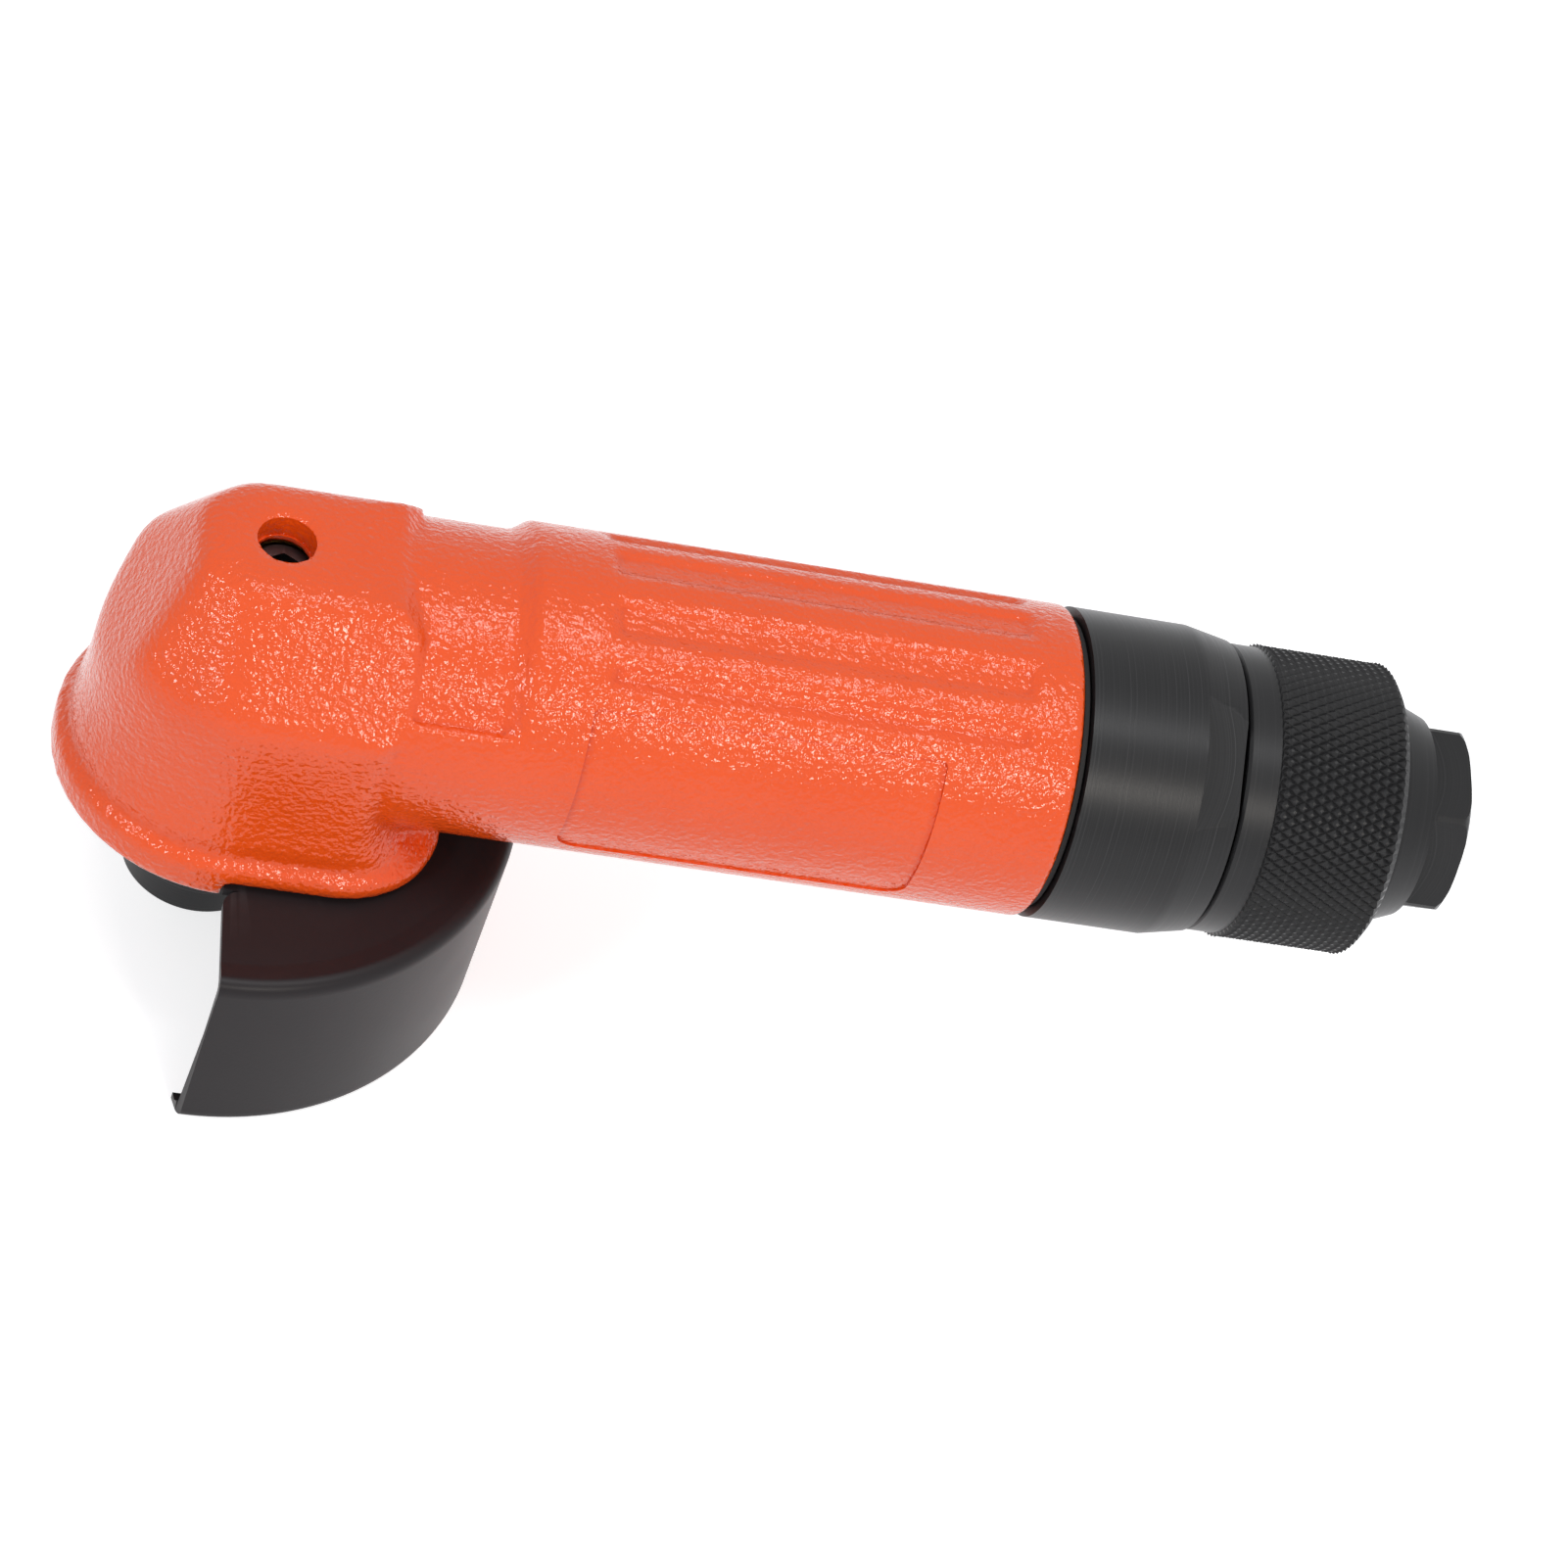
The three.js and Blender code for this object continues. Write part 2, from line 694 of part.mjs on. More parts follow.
function spindle() {
  const shaft = turnedZ([
    [-spindleReach, 0], [-spindleReach, spindleThreadRadius - tipChamfer],
    [tipChamfer - spindleReach, spindleThreadRadius],
    [backingBottom + seatGap, spindleThreadRadius], [backingBottom + seatGap, spindleRadius],
    [backingTop, spindleRadius], [backingTop, spindleCollarRadius],
    [collarTop, spindleCollarRadius], [collarTop, spindleRadius],
    [-spindleTopStart, spindleRadius], [-spindleTopStart, spindleTopRadius],
    [bushTop - tipChamfer, spindleTopRadius], [bushTop, spindleTopRadius - tipChamfer],
    [bushTop, 0],
  ], smallSides);
  const socket = hexBarZ(spindleKeySocketFlats, bushTop - spindleKeySocketDepth, bushTop + overrun);
  const keySeat = box(spindleRadius - keyHeight / 2 - seatGap, spindleRadius + overrun,
    -keyWidth / 2 - seatGap, keyWidth / 2 + seatGap,
    gearMiddle - keyLength / 2 - seatGap, gearMiddle + keyLength / 2 + seatGap);
  return cut(shaft, socket, keySeat);
}

// The flange grips the wheel with its outer rim only; the face inside the rim is relieved.
function backingFlange() {
  const rimTop = backingBottom + backingFlangeRimThickness;
  const rimInner = backingFlangeRadius - backingFlangeContactWidth;
  const face = backingBottom + backingFlangeRelief;
  const bore = spindleRadius + seatGap;
  return turnedZ([
    [face, bore], [face, rimInner], [backingBottom, rimInner],
    [backingBottom, backingFlangeRadius], [rimTop, backingFlangeRadius],
    [backingTop - seatGap, backingFlangeHubRadius], [backingTop - seatGap, bore], [face, bore],
  ], boreSides);
}

function flangeNut() {
  const bore = spindleThreadRadius + seatGap;
  const ring = turnedZ([
    [nutBottom, bore], [nutBottom, flangeNutRadius - tipChamfer],
    [nutBottom + tipChamfer, flangeNutRadius], [nutTop, flangeNutRadius],
    [nutTop, bore], [nutBottom, bore],
  ], bearingSides);
  const holes = [0, 90, 180, 270].map((angle) =>
    rodZ(nutSpannerHoleRadius, nutBottom - overrun, nutBottom + nutSpannerHoleDepth, tinySides)
      .translate([nutSpannerHoleReach, 0, 0]).rotate([0, 0, angle]));
  return cut(ring, ...holes);
}

function spindleBush() {
  return turnedZ(
    ringProfile(spindleTopRadius + seatGap, bushOuterRadius, bushBottom, bushTop), smallSides);
}

function bearingRetainer() {
  const top = retainerTop + retainerSpigotHeight;
  const spigot = gearCavityRadius - seatGap;
  const ledge = retainerBottom + retainerLipThickness;
  const skin = turnedZ([
    [retainerBottom, 0], [retainerBottom, retainerRadius - retainerEdge],
    [retainerBottom + retainerEdge, retainerRadius], [retainerTop, retainerRadius],
    [retainerTop, spigot], [top, spigot], [top, 0],
  ], bodySides);
  const pocket = rodZ(spindleBearingOuterRadius + seatGap, ledge, top + overrun, boreSides);
  const lip = rodZ(retainerLipRadius, retainerBottom - overrun, ledge + overrun, bearingSides);
  return cut(skin, pocket, lip);
}

function spindleSeal() {
  return turnedZ(ringProfile(spindleRadius + seatGap, retainerLipRadius - seatGap,
    retainerBottom + seatGap, bearingBottom - seatGap), smallSides);
}

addPiece(tool, "spindle_bush", spindleBush(), ...brass);
addPiece(tool, "bearing_retainer", bearingRetainer(), ...blackOxide);
addPiece(tool, "spindle_seal", spindleSeal(), ...rubber);
addPiece(tool, "spindle", spindle(), ...groundSteel);
addPiece(tool, "bevel_gear", bevelGear(), ...darkSteel);
addPiece(tool, "gear_key", gearKey(), ...darkSteel);
addPiece(tool, "backing_flange", backingFlange(), ...blackOxide);
addPiece(tool, "flange_nut", flangeNut(), ...blackOxide);

// Ball bearings: an outer ring, an inner ring, and the balls in their cage

function addBearing(name, group, bore, outer, width, ballRadius) {
  const pitch = (bore + outer) / 2;
  const innerLand = pitch - ballRadius - ringLand;
  const outerLand = pitch + ballRadius + ringLand;
  const half = width / 2;
  const cageHalf = ballRadius * cageWidthShare;
  // The cage is a hexagonal band whose corners lie inside the balls.
  const band = turnedX(
    ringProfile(pitch - cageThickness / 2, pitch + cageThickness / 2, -cageHalf, cageHalf), ballCount);
  const balls = [];
  for (let ball = 0; ball < ballCount; ball += 1) {
    const sphere = solidFrom(new THREE.SphereGeometry(ballRadius, ballSides, ballLevels));
    balls.push(sphere.translate([0, 0, pitch]).rotate([(ball / ballCount) * 360, 0, 0]));
  }
  const outerRing = turnedX(ringProfile(outerLand, outer, -half, half), bearingSides);
  const innerRing = turnedX(ringProfile(bore, innerLand, -half, half), bearingSides);
  addPiece(group, name + "_outer_ring", outerRing, ...groundSteel);
  addPiece(group, name + "_inner_ring", innerRing, ...groundSteel);
  addPiece(group, name + "_cage", join(band, ...balls), ...brass);
}

const spindleBearing = new THREE.Group();
spindleBearing.rotation.y = -Math.PI / 2;
spindleBearing.position.z = (bearingBottom + bearingTop) / 2;
tool.add(spindleBearing);
addBearing("spindle_bearing", spindleBearing, spindleRadius + seatGap,
  spindleBearingOuterRadius, spindleBearingWidth, spindleBallRadius);

const frontBearing = new THREE.Group();
frontBearing.position.x = frontPlateFront + seatGap + rotorBearingWidth / 2;
tool.add(frontBearing);

const rearBearing = new THREE.Group();
rearBearing.position.x = rearPlateRear - seatGap - rotorBearingWidth / 2;
tool.add(rearBearing);

for (const [name, group] of [["front_bearing", frontBearing], ["rear_bearing", rearBearing]]) {
  addBearing(name, group, rotorShaftRadius + seatGap, rotorBearingOuterRadius,
    rotorBearingWidth, rotorBallRadius);
}

// Vane motor

function rotor() {
  const barrel = rodX(rotorRadius, rotorFront, rotorRear, boreSides);
  const shaft = rodX(rotorShaftRadius, shaftFront, rearPlateRear + rotorShaftTail, smallSides);
  const slots = [];
  for (let vane = 0; vane < vaneCount; vane += 1) {
    const half = vaneThickness / 2 + seatGap;
    const slot = box(rotorFront - overrun, rotorRear + overrun, -half, half,
      rotorCoreRadius, rotorRadius + overrun);
    slots.push(slot.rotate([(vane / vaneCount) * 360, 0, 0]));
  }
  return join(cut(barrel, ...slots), shaft);
}

function vane() {
  return box(rotorFront, rotorRear, -vaneThickness / 2, vaneThickness / 2,
    rotorCoreRadius + seatGap, rotorRadius - seatGap);
}

function cylinderLiner() {
  const sleeve = rodX(seatRadius, linerFront, linerRear, boreSides);
  const bore = rodX(linerBoreRadius, linerFront - overrun, linerRear + overrun, boreSides)
    .translate([0, 0, linerOffset]);
  const middle = (linerFront + linerRear) / 2;
  const ports = [];
  for (let port = 0; port < linerPortCount; port += 1) {
    const x = middle + (port - (linerPortCount - 1) / 2) * linerPortPitch;
    ports.push(box(x - linerPortLength / 2, x + linerPortLength / 2, 0, motorBoreRadius,
      -linerPortWidth / 2, linerPortWidth / 2));
  }
  return cut(sleeve, bore, ...ports, linerPinHole());
}

const linerPinFront = linerFront - linerPinLength / 2;
const linerPinReach = seatRadius - linerPinInset;

function linerPinHole() {
  return rodX(linerPinRadius + seatGap, linerPinFront - seatGap,
    linerPinFront + linerPinLength + seatGap, tinySides).translate([0, 0, -linerPinReach]);
}

// An end plate with its bearing pocket open towards -X, and a thin web on the rotor's side.
function endPlate(length) {
  return turnedX([
    [0, rotorBearingOuterRadius + seatGap], [0, seatRadius], [length, seatRadius],
    [length, rotorShaftRadius + endPlateShaftGap],
    [length - endPlateWeb, rotorShaftRadius + endPlateShaftGap],
    [length - endPlateWeb, rotorBearingOuterRadius + seatGap], [0, rotorBearingOuterRadius + seatGap],
  ], bearingSides);
}

function frontEndPlate() {
  return cut(endPlate(endPlateThickness).translate([frontPlateFront, 0, 0]), linerPinHole());
}

function rearEndPlate() {
  const plate = endPlate(endPlateThickness).rotate([0, 0, 180]).translate([rearPlateRear, 0, 0]);
  const ports = [0, 60].map((angle) =>
    rodX(endPlatePortRadius, rearPlateFront - overrun, rearPlateRear + overrun, tinySides)
      .translate([0, 0, seatRadius - endPlatePortInset]).rotate([angle, 0, 0]));
  return cut(plate, ...ports);
}

function pinionNut() {
  const bar = hexBarX(pinionNutFlats, shaftFront, pinionNutRear, 0);
  const bore = rodX(rotorShaftRadius + seatGap, shaftFront - overrun, pinionNutRear + overrun,
    smallSides);
  return cut(bar, bore);
}

addPiece(tool, "front_end_plate", frontEndPlate(), ...darkSteel);
addPiece(tool, "rear_end_plate", rearEndPlate(), ...darkSteel);
addPiece(tool, "cylinder_liner", cylinderLiner(), ...groundSteel);
addPiece(tool, "liner_pin", rodX(linerPinRadius, linerPinFront, linerPinFront + linerPinLength,
  tinySides).translate([0, 0, -linerPinReach]), ...groundSteel);
addPiece(tool, "rotor", rotor(), ...groundSteel);
addPiece(tool, "bevel_pinion", bevelPinion(), ...darkSteel);
addPiece(tool, "pinion_nut", pinionNut(), ...darkSteel);
for (let number = 1; number <= vaneCount; number += 1) {
  const mesh = addPiece(tool, "vane_" + number, vane(), ...resin);
  mesh.rotation.x = ((number - 1) / vaneCount) * 2 * Math.PI;
}

// Rear cap and gasket

function rearCap() {
  const cap = turnedX([
    [capSpigotFront, 0], [capSpigotFront, seatRadius], [capFront, seatRadius],
    [capFront, capRadius - capEdge], [capFront + capEdge, capRadius],
    [capRear - capTaperLength, capRadius], [capRear, capTaperRadius], [capRear, 0],
  ], bodySides);
  const flats = [0, 180].map((half) =>
    box(capRear - capFlatLength, capRear + overrun, -capRadius, capRadius,
      capRadius - capFlatDepth, capRadius + overrun).rotate([capFlatAngle + half, 0, 0]));
  const stemBoreWall = stemRadius + seatGap;
  const portReach = stemBoreWall + (capTaperRadius - stemBoreWall) * exhaustPortReachShare;
  const ports = [];
  for (let port = 0; port < exhaustPortCount; port += 1) {
    const hole = rodX(exhaustPortRadius, capRear - exhaustPortDepth, capRear + overrun, tinySides);
    ports.push(hole.translate([0, 0, portReach])
      .rotate([(port / exhaustPortCount) * 360, 0, 0]));
  }
  const chamber = rodX(seatRadius - capSpigotWall, capSpigotFront - overrun, capChamberEnd, bearingSides);
  const stemBore = rodX(stemBoreWall, capChamberEnd - overrun, capRear + overrun, bearingSides);
  return cut(cap, chamber, stemBore, ...flats, ...ports);
}

function capGasket() {
  return turnedX(ringProfile(motorBoreRadius + runGap, handleRadius - gasketInset, gasketFront,
    gasketFront + gasketThickness), boreSides);
}

addPiece(tool, "rear_cap", rearCap(), ...blackOxide);
addPiece(tool, "cap_gasket", capGasket(), ...rubber);

// Inlet body, its seals, screen and valve seat

const pinAt = ringFront + pinSetback;
const pinWidth = 2 * (pinRadius + runGap);
const screenSeat = hexRear - inletThreadLength;
const sealPlaces = [ringFront + sealInset, ringRear - sealInset];

function inletStem() {
  const skin = [[stemFront, throatRadius], [stemFront, stemRadius]];
  for (const place of sealPlaces) {
    const half = sealSection / 2 + seatGap;
    const floor = stemRadius - sealGrooveDepth;
    skin.push([place - half, stemRadius], [place - half, floor]);
    skin.push([place + half, floor], [place + half, stemRadius]);
  }
  skin.push([coneFront + coneRim, stemRadius], [coneFront + coneRim, stemBoreRadius]);
  skin.push([stemFront + throatLength, stemBoreRadius], [stemFront + throatLength, throatRadius]);
  skin.push([stemFront, throatRadius]);
  return turnedX(skin, smallSides);
}

function inletNose() {
  const cone = turnedX([
    [coneFront, 0], [coneFront, coneRadius], [coneFront + coneRim, coneRadius],
    [hexFront, coneEndRadius], [hexFront, 0],
  ], boreSides);
  const corner = hexFlats / Math.sqrt(3);
  const chamferCone = turnedX([
    [coneFront, 0], [coneFront, corner + overrun], [hexRear - hexChamfer, corner],
    [hexRear, corner - 2 * hexChamfer], [hexRear, 0],
  ], bearingSides);
  const hex = common(hexBarX(hexFlats, hexFront - seatGap, hexRear, hexTurn), chamferCone);
  return join(cone, hex);
}

function inletBody() {
  const threadBore = turnedX([
    [screenSeat, 0], [screenSeat, inletThreadRadius],
    [hexRear - inletChamfer, inletThreadRadius],
    [hexRear, inletThreadRadius + inletChamfer], [hexRear, 0],
  ], smallSides);
  const spoolBore = rodX(stemBoreRadius, stemFront + throatLength, screenSeat + seatGap,
    smallSides);
  const slot = box(pinAt - pinWidth / 2, pinAt + spoolTravel + pinWidth / 2,
    -pinWidth / 2, pinWidth / 2, 0, stemRadius + overrun);
  return cut(join(inletStem(), inletNose()), threadBore, spoolBore, slot);
}

function stemSeal(x) {
  const half = sealSection / 2;
  const inner = stemRadius - sealGrooveDepth + seatGap;
  return turnedX([
    [x - half, inner + half], [x, inner + sealSection], [x + half, inner + half],
    [x, inner], [x - half, inner + half],
  ], smallSides);
}

function inletScreen() {
  const disc = rodX(inletThreadRadius - seatGap, screenSeat + seatGap,
    screenSeat + seatGap + screenThickness, smallSides);
  const holes = [];
  for (let hole = 0; hole < screenHoleCount; hole += 1) {
    holes.push(rodX(screenHoleRadius, screenSeat - overrun, screenSeat + 2 * overrun, holeSides)
      .translate([0, 0, screenHoleReach]).rotate([(hole / screenHoleCount) * 360, 0, 0]));
  }
  return cut(disc, ...holes, rodX(screenHoleRadius, screenSeat - overrun,
    screenSeat + 2 * overrun, holeSides));
}

const seatFront = stemFront + throatLength + seatGap;
const seatRear = seatFront + valveSeatThickness;

function valveSeat() {
  return turnedX(ringProfile(throatRadius, stemBoreRadius - seatGap, seatFront, seatRear),
    smallSides);
}

addPiece(tool, "inlet_body", inletBody(), ...blackOxide);
addPiece(tool, "ring_seal_front", stemSeal(sealPlaces[0]), ...rubber);
addPiece(tool, "ring_seal_rear", stemSeal(sealPlaces[1]), ...rubber);
addPiece(tool, "inlet_screen", inletScreen(), ...brass);
addPiece(tool, "valve_seat", valveSeat(), ...brass);

// Throttle ring: diamond knurl outside, helical cam groove inside

// One skin of levels that all have the same number of points, closed along the bore. On the
// knurled levels alternate points stand high and low, so each high point is a diamond's peak.
function throttleRingBody() {
  const around = knurlDiamonds * 2;
  const levels = [];
  const addLevel = (x, radius, lowRadius) => {
    const level = [];
    for (let side = 0; side < around; side += 1) {
      const turn = (side / around) * 2 * Math.PI;
      const reach = (side + levels.length) % 2 === 0 ? radius : lowRadius;
      level.push([x, reach * Math.cos(turn), reach * Math.sin(turn)]);
    }
    levels.push(level);
  };
  const bore = stemRadius + runGap;
  addLevel(ringFront, bore, bore);
  addLevel(ringFront, ringCollarRadius - capEdge, ringCollarRadius - capEdge);
  addLevel(ringFront + capEdge, ringCollarRadius, ringCollarRadius);
  addLevel(knurlFront - capEdge, ringCollarRadius, ringCollarRadius);
  for (let row = 0; row <= knurlRows; row += 1) {
    const x = knurlFront + ((knurlRear - knurlFront) * row) / knurlRows;
    addLevel(x, knurlRadius, knurlRadius - knurlDepth);
  }
  addLevel(ringRear, ringMouthRadius, ringMouthRadius);
  addLevel(ringRear, bore, bore);
  return closedSkin(levels);
}

function closedSkin(levels) {
  const around = levels[0].length;
  const at = (level, side) => (level % levels.length) * around + (side % around);
  const index = [];
  for (let level = 0; level < levels.length; level += 1) {
    for (let side = 0; side < around; side += 1) {
      const [a, b] = [at(level, side), at(level, side + 1)];
      const [c, d] = [at(level + 1, side + 1), at(level + 1, side)];
      // Each square is split along its two low points, which makes the knurl's valleys.
      if ((side + level) % 2 === 0) index.push(a, b, d, b, c, d);
      else index.push(a, b, c, a, c, d);
    }
  }
  const geometry = new THREE.BufferGeometry();
  geometry.setAttribute("position", new THREE.Float32BufferAttribute(levels.flat(2), 3));
  geometry.setIndex(index);
  return solidFrom(geometry);
}

// The groove's axial place changes with the ring's turn, and so carries the pin along the stem.
function camGroove() {
  const inner = stemRadius - overrun;
  const outer = stemRadius + runGap + camDepth;
  const margin = pinWidth / 2 / stemRadius;
  const from = -throttleTurn * degrees - margin;
  const steps = 10;
  const rings = [];
  for (let step = 0; step <= steps; step += 1) {
    const turn = from + ((margin - from) * step) / steps;
    const travelled = Math.min(throttleTurn * degrees, Math.max(0, -turn));
    const middle = pinAt + (spoolTravel * travelled) / (throttleTurn * degrees);
    const half = pinWidth / 2 + seatGap / 2;
    rings.push([[inner, middle - half], [inner, middle + half], [outer, middle + half],
      [outer, middle - half]].map(([radius, x]) =>
      [x, -radius * Math.sin(turn), radius * Math.cos(turn)]));
  }
  const centre = (ring) => [0, 1, 2].map((axis) =>
    ring.reduce((sum, point) => sum + point[axis], 0) / ring.length);
  return loft(rings, centre(rings[0]), centre(rings[steps]));
}

function throttleRing() {
  return cut(throttleRingBody(), camGroove());
}

function throttleSpool() {
  const landFront = pinAt - spoolLandHalfLength;
  const landRear = pinAt + spoolLandHalfLength;
  const poppetFront = seatRear + seatGap;
  const body = turnedX([
    [poppetFront, 0], [poppetFront, poppetRadius], [poppetFront + poppetThickness, poppetRadius],
    [poppetFront + poppetThickness, spoolRodRadius], [landFront, spoolRodRadius],
    [landFront, spoolRadius], [landRear, spoolRadius], [landRear, 0],
  ], smallSides);
  const flutes = [];
  for (let flute = 0; flute < spoolFluteCount; flute += 1) {
    flutes.push(rodX(spoolFluteRadius, landFront - overrun, landRear + overrun, tinySides)
      .translate([0, 0, -spoolRadius]).rotate([(flute / spoolFluteCount) * 360, 0, 0]));
  }
  const pinHole = rodZ(pinRadius + seatGap, -pinRadius - seatGap, stemRadius, tinySides)
    .translate([pinAt, 0, 0]);
  return cut(body, ...flutes, pinHole);
}

function throttlePin() {
  const top = stemRadius + runGap + camDepth - pinTopClearance;
  return rodZ(pinRadius, -pinRadius, top, tinySides).translate([pinAt, 0, 0]);
}

addPiece(tool, "throttle_ring", throttleRing(), ...blackOxide);
addPiece(tool, "throttle_spool", throttleSpool(), ...brass);
addPiece(tool, "throttle_pin", throttlePin(), ...groundSteel);

// Guard: a half ring of bent sheet under the flange, clamped by the retainer and two screws

function guardSection() {
  const inner = gearCavityRadius + seatGap;
  const top = guardTop;
  const bead = guardTop + guardBead;
  const wall = guardRadius;
  const inside = guardRadius - guardSheet;
  const bendShares = [[0.5, 0.13], [0.87, 0.5]];
  const outerBend = bendShares.map(([out, down]) =>
    [bead - guardBend * down, wall - guardBend + guardBend * out]);
  return [
    [top, inner], [guardUnder, inner], [guardUnder, inside - guardBend / 2],
    [guardUnder - guardBend / 2, inside], [guardSheet - guardBottom, inside],
    [guardSheet - guardBottom, inside - guardLip], [-guardBottom, inside - guardLip],
    [-guardBottom, wall - guardSheet / 2], [guardSheet / 2 - guardBottom, wall],
    [bead - guardBend, wall],
    ...outerBend.reverse(),
    [bead, wall - guardBend], [top, wall - 2 * guardBend], [top, inner],
  ];
}

function guard() {
  const ring = turnedZ(guardSection(), bodySides);
  const rearHalf = box(seatGap, guardRadius + overrun, -guardRadius - overrun,
    guardRadius + overrun, -guardBottom - overrun, 0);
  const corners = [-1, 1].map((side) => {
    const y = side * (flangeSide + guardCornerRadius);
    const block = box(0, guardCornerRadius, Math.min(y, side * flangeSide),
      Math.max(y, side * flangeSide), guardUnder - overrun, 0);
    const round = rodZ(guardCornerRadius, guardUnder - 2 * overrun, overrun, smallSides)
      .translate([guardCornerRadius + seatGap, y, 0]);
    const clearSide = box(0, guardCornerRadius + overrun, Math.min(0, y), Math.max(0, y),
      guardUnder - overrun, 0);
    return cut(common(block, clearSide), round);
  });
  const holes = guardScrewPlaces().map(([x, y]) =>
    rodZ(guardScrewRadius + seatGap, guardUnder - overrun, 0, tinySides).translate([x, y, 0]));
  return cut(common(ring, rearHalf), ...corners, ...holes);
}

function guardScrew() {
  const headTopZ = guardUnder - seatGap;
  const headBottom = headTopZ - guardScrewHeadHeight;
  const body = turnedZ([
    [headBottom, 0], [headBottom, guardScrewHeadRadius - tipChamfer],
    [headBottom + tipChamfer, guardScrewHeadRadius], [headTopZ, guardScrewHeadRadius],
    [headTopZ, guardScrewRadius], [guardUnder + guardScrewLength, guardScrewRadius],
    [guardUnder + guardScrewLength, 0],
  ], tinySides);
  return cut(body, hexBarZ(guardScrewSocketFlats, headBottom - overrun,
    headBottom + guardScrewSocketDepth));
}

addPiece(tool, "guard", guard(), ...guardBlack);
guardScrewPlaces().forEach(([x, y], i) => {
  const screw = addPiece(tool, "guard_screw_" + (i + 1), guardScrew(), ...blackOxide);
  screw.position.set(x, y, 0);
});

// The spindle's lower end comes to the part's origin.
tool.position.z = spindleReach;

export default tool;
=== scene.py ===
# %% [markdown]
# # A pneumatic angle grinder
# The tool is a cast orange housing with a right-angle head, a black rear cap, a knurled throttle
# ring and a hexagonal air inlet. A black half guard hangs under the head. This lesson dresses the
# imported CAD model: round parts are spun again with fine steps, the casting is rounded off as a
# foundry leaves it, and every surface gets a finish made from shader nodes.

# %% Loading the frame
import json
import math

import bmesh
import bpy
from mathutils import Matrix, Vector


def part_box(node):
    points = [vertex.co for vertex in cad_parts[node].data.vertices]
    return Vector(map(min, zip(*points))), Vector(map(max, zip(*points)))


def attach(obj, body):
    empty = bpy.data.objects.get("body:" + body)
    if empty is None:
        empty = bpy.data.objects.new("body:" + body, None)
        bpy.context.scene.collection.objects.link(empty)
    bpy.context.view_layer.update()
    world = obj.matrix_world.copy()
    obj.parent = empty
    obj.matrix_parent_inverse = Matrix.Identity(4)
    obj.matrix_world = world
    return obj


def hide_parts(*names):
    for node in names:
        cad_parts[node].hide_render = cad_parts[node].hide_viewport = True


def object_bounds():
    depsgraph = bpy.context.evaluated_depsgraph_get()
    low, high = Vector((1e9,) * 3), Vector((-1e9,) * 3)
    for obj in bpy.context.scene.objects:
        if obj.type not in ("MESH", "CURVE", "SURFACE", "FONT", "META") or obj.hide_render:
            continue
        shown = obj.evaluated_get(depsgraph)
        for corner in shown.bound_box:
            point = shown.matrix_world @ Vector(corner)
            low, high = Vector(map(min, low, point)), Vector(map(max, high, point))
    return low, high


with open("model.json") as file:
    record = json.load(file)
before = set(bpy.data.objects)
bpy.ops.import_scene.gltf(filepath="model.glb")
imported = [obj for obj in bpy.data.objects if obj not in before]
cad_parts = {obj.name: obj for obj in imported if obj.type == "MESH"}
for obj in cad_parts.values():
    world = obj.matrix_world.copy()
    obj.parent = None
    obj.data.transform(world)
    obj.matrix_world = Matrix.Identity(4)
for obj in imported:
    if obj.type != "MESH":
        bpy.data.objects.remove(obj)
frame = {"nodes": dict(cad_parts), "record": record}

MM = 0.001
cad_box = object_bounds()
print("CAD box in mm:", [[round(v / MM, 1) for v in corner] for corner in cad_box])

# %% [markdown]
# ## The camera
# The photograph was taken from above and in front with a long lens, and the tool lies turned in
# the picture. Its right, up and backward directions were fitted to the object's outlines. A
# matrix with these three as its columns turns the camera in one step, with no shift.

# %% Camera
LENS_MM, SENSOR_MM = 127.8, 36
CAMERA_PLACE = Vector((-127.4, -639.6, 767.6)) * MM
right = Vector((0.963, -0.0378, 0.2665)).normalized()
back = Vector((-0.2273, -0.6446, 0.7297)).normalized()
up = back.cross(right).normalized()
turn = Matrix((right, up, back)).transposed().to_4x4()

camera_data = bpy.data.cameras.new("camera")
camera_data.sensor_width = SENSOR_MM
camera_data.lens = LENS_MM
camera_data.clip_start, camera_data.clip_end = 0.05, 50
camera = bpy.data.objects.new("camera", camera_data)
camera.matrix_world = Matrix.Translation(CAMERA_PLACE) @ turn
bpy.context.scene.collection.objects.link(camera)
bpy.context.scene.camera = camera
print("Camera stands", round(camera.location.length, 3), "m from the spindle")

# %% [markdown]
# ## Light and floor
# The picture is a plain studio shot on white. A long lamp overhead, two small ones in front and
# a faint one at the right make the grain of the paint sparkle, and the world fills the shadows.
# World and floor are white to the camera, in reflections and through glass. The floor still
# darkens where the tool shades it, because only part of its white comes from emission.

# %% Node tools
def feed(tree, socket, value):
    """Links a socket to another one, or gives it a plain value."""
    if isinstance(value, bpy.types.NodeSocket):
        tree.links.new(value, socket)
    else:
        socket.default_value = value


def math_node(tree, operation, first, second):
    """One math node. Each operand is a number or a socket."""
    node = tree.nodes.new("ShaderNodeMath")
    node.operation = operation
    feed(tree, node.inputs[0], first)
    feed(tree, node.inputs[1], second)
    return node.outputs[0]


# %% World
WHITE = (1, 1, 1, 1)
FILL_COLOR, FILL_STRENGTH = (0.86, 0.88, 0.92, 1), 0.54


def rays_that_see_white(tree):
    """1 for camera, glossy and transmission rays, and 0 for the light that falls on the object."""
    rays = tree.nodes.new("ShaderNodeLightPath").outputs
    seen = math_node(tree, "MAXIMUM", rays["Is Camera Ray"], rays["Is Glossy Ray"])
    return math_node(tree, "MAXIMUM", seen, rays["Is Transmission Ray"])


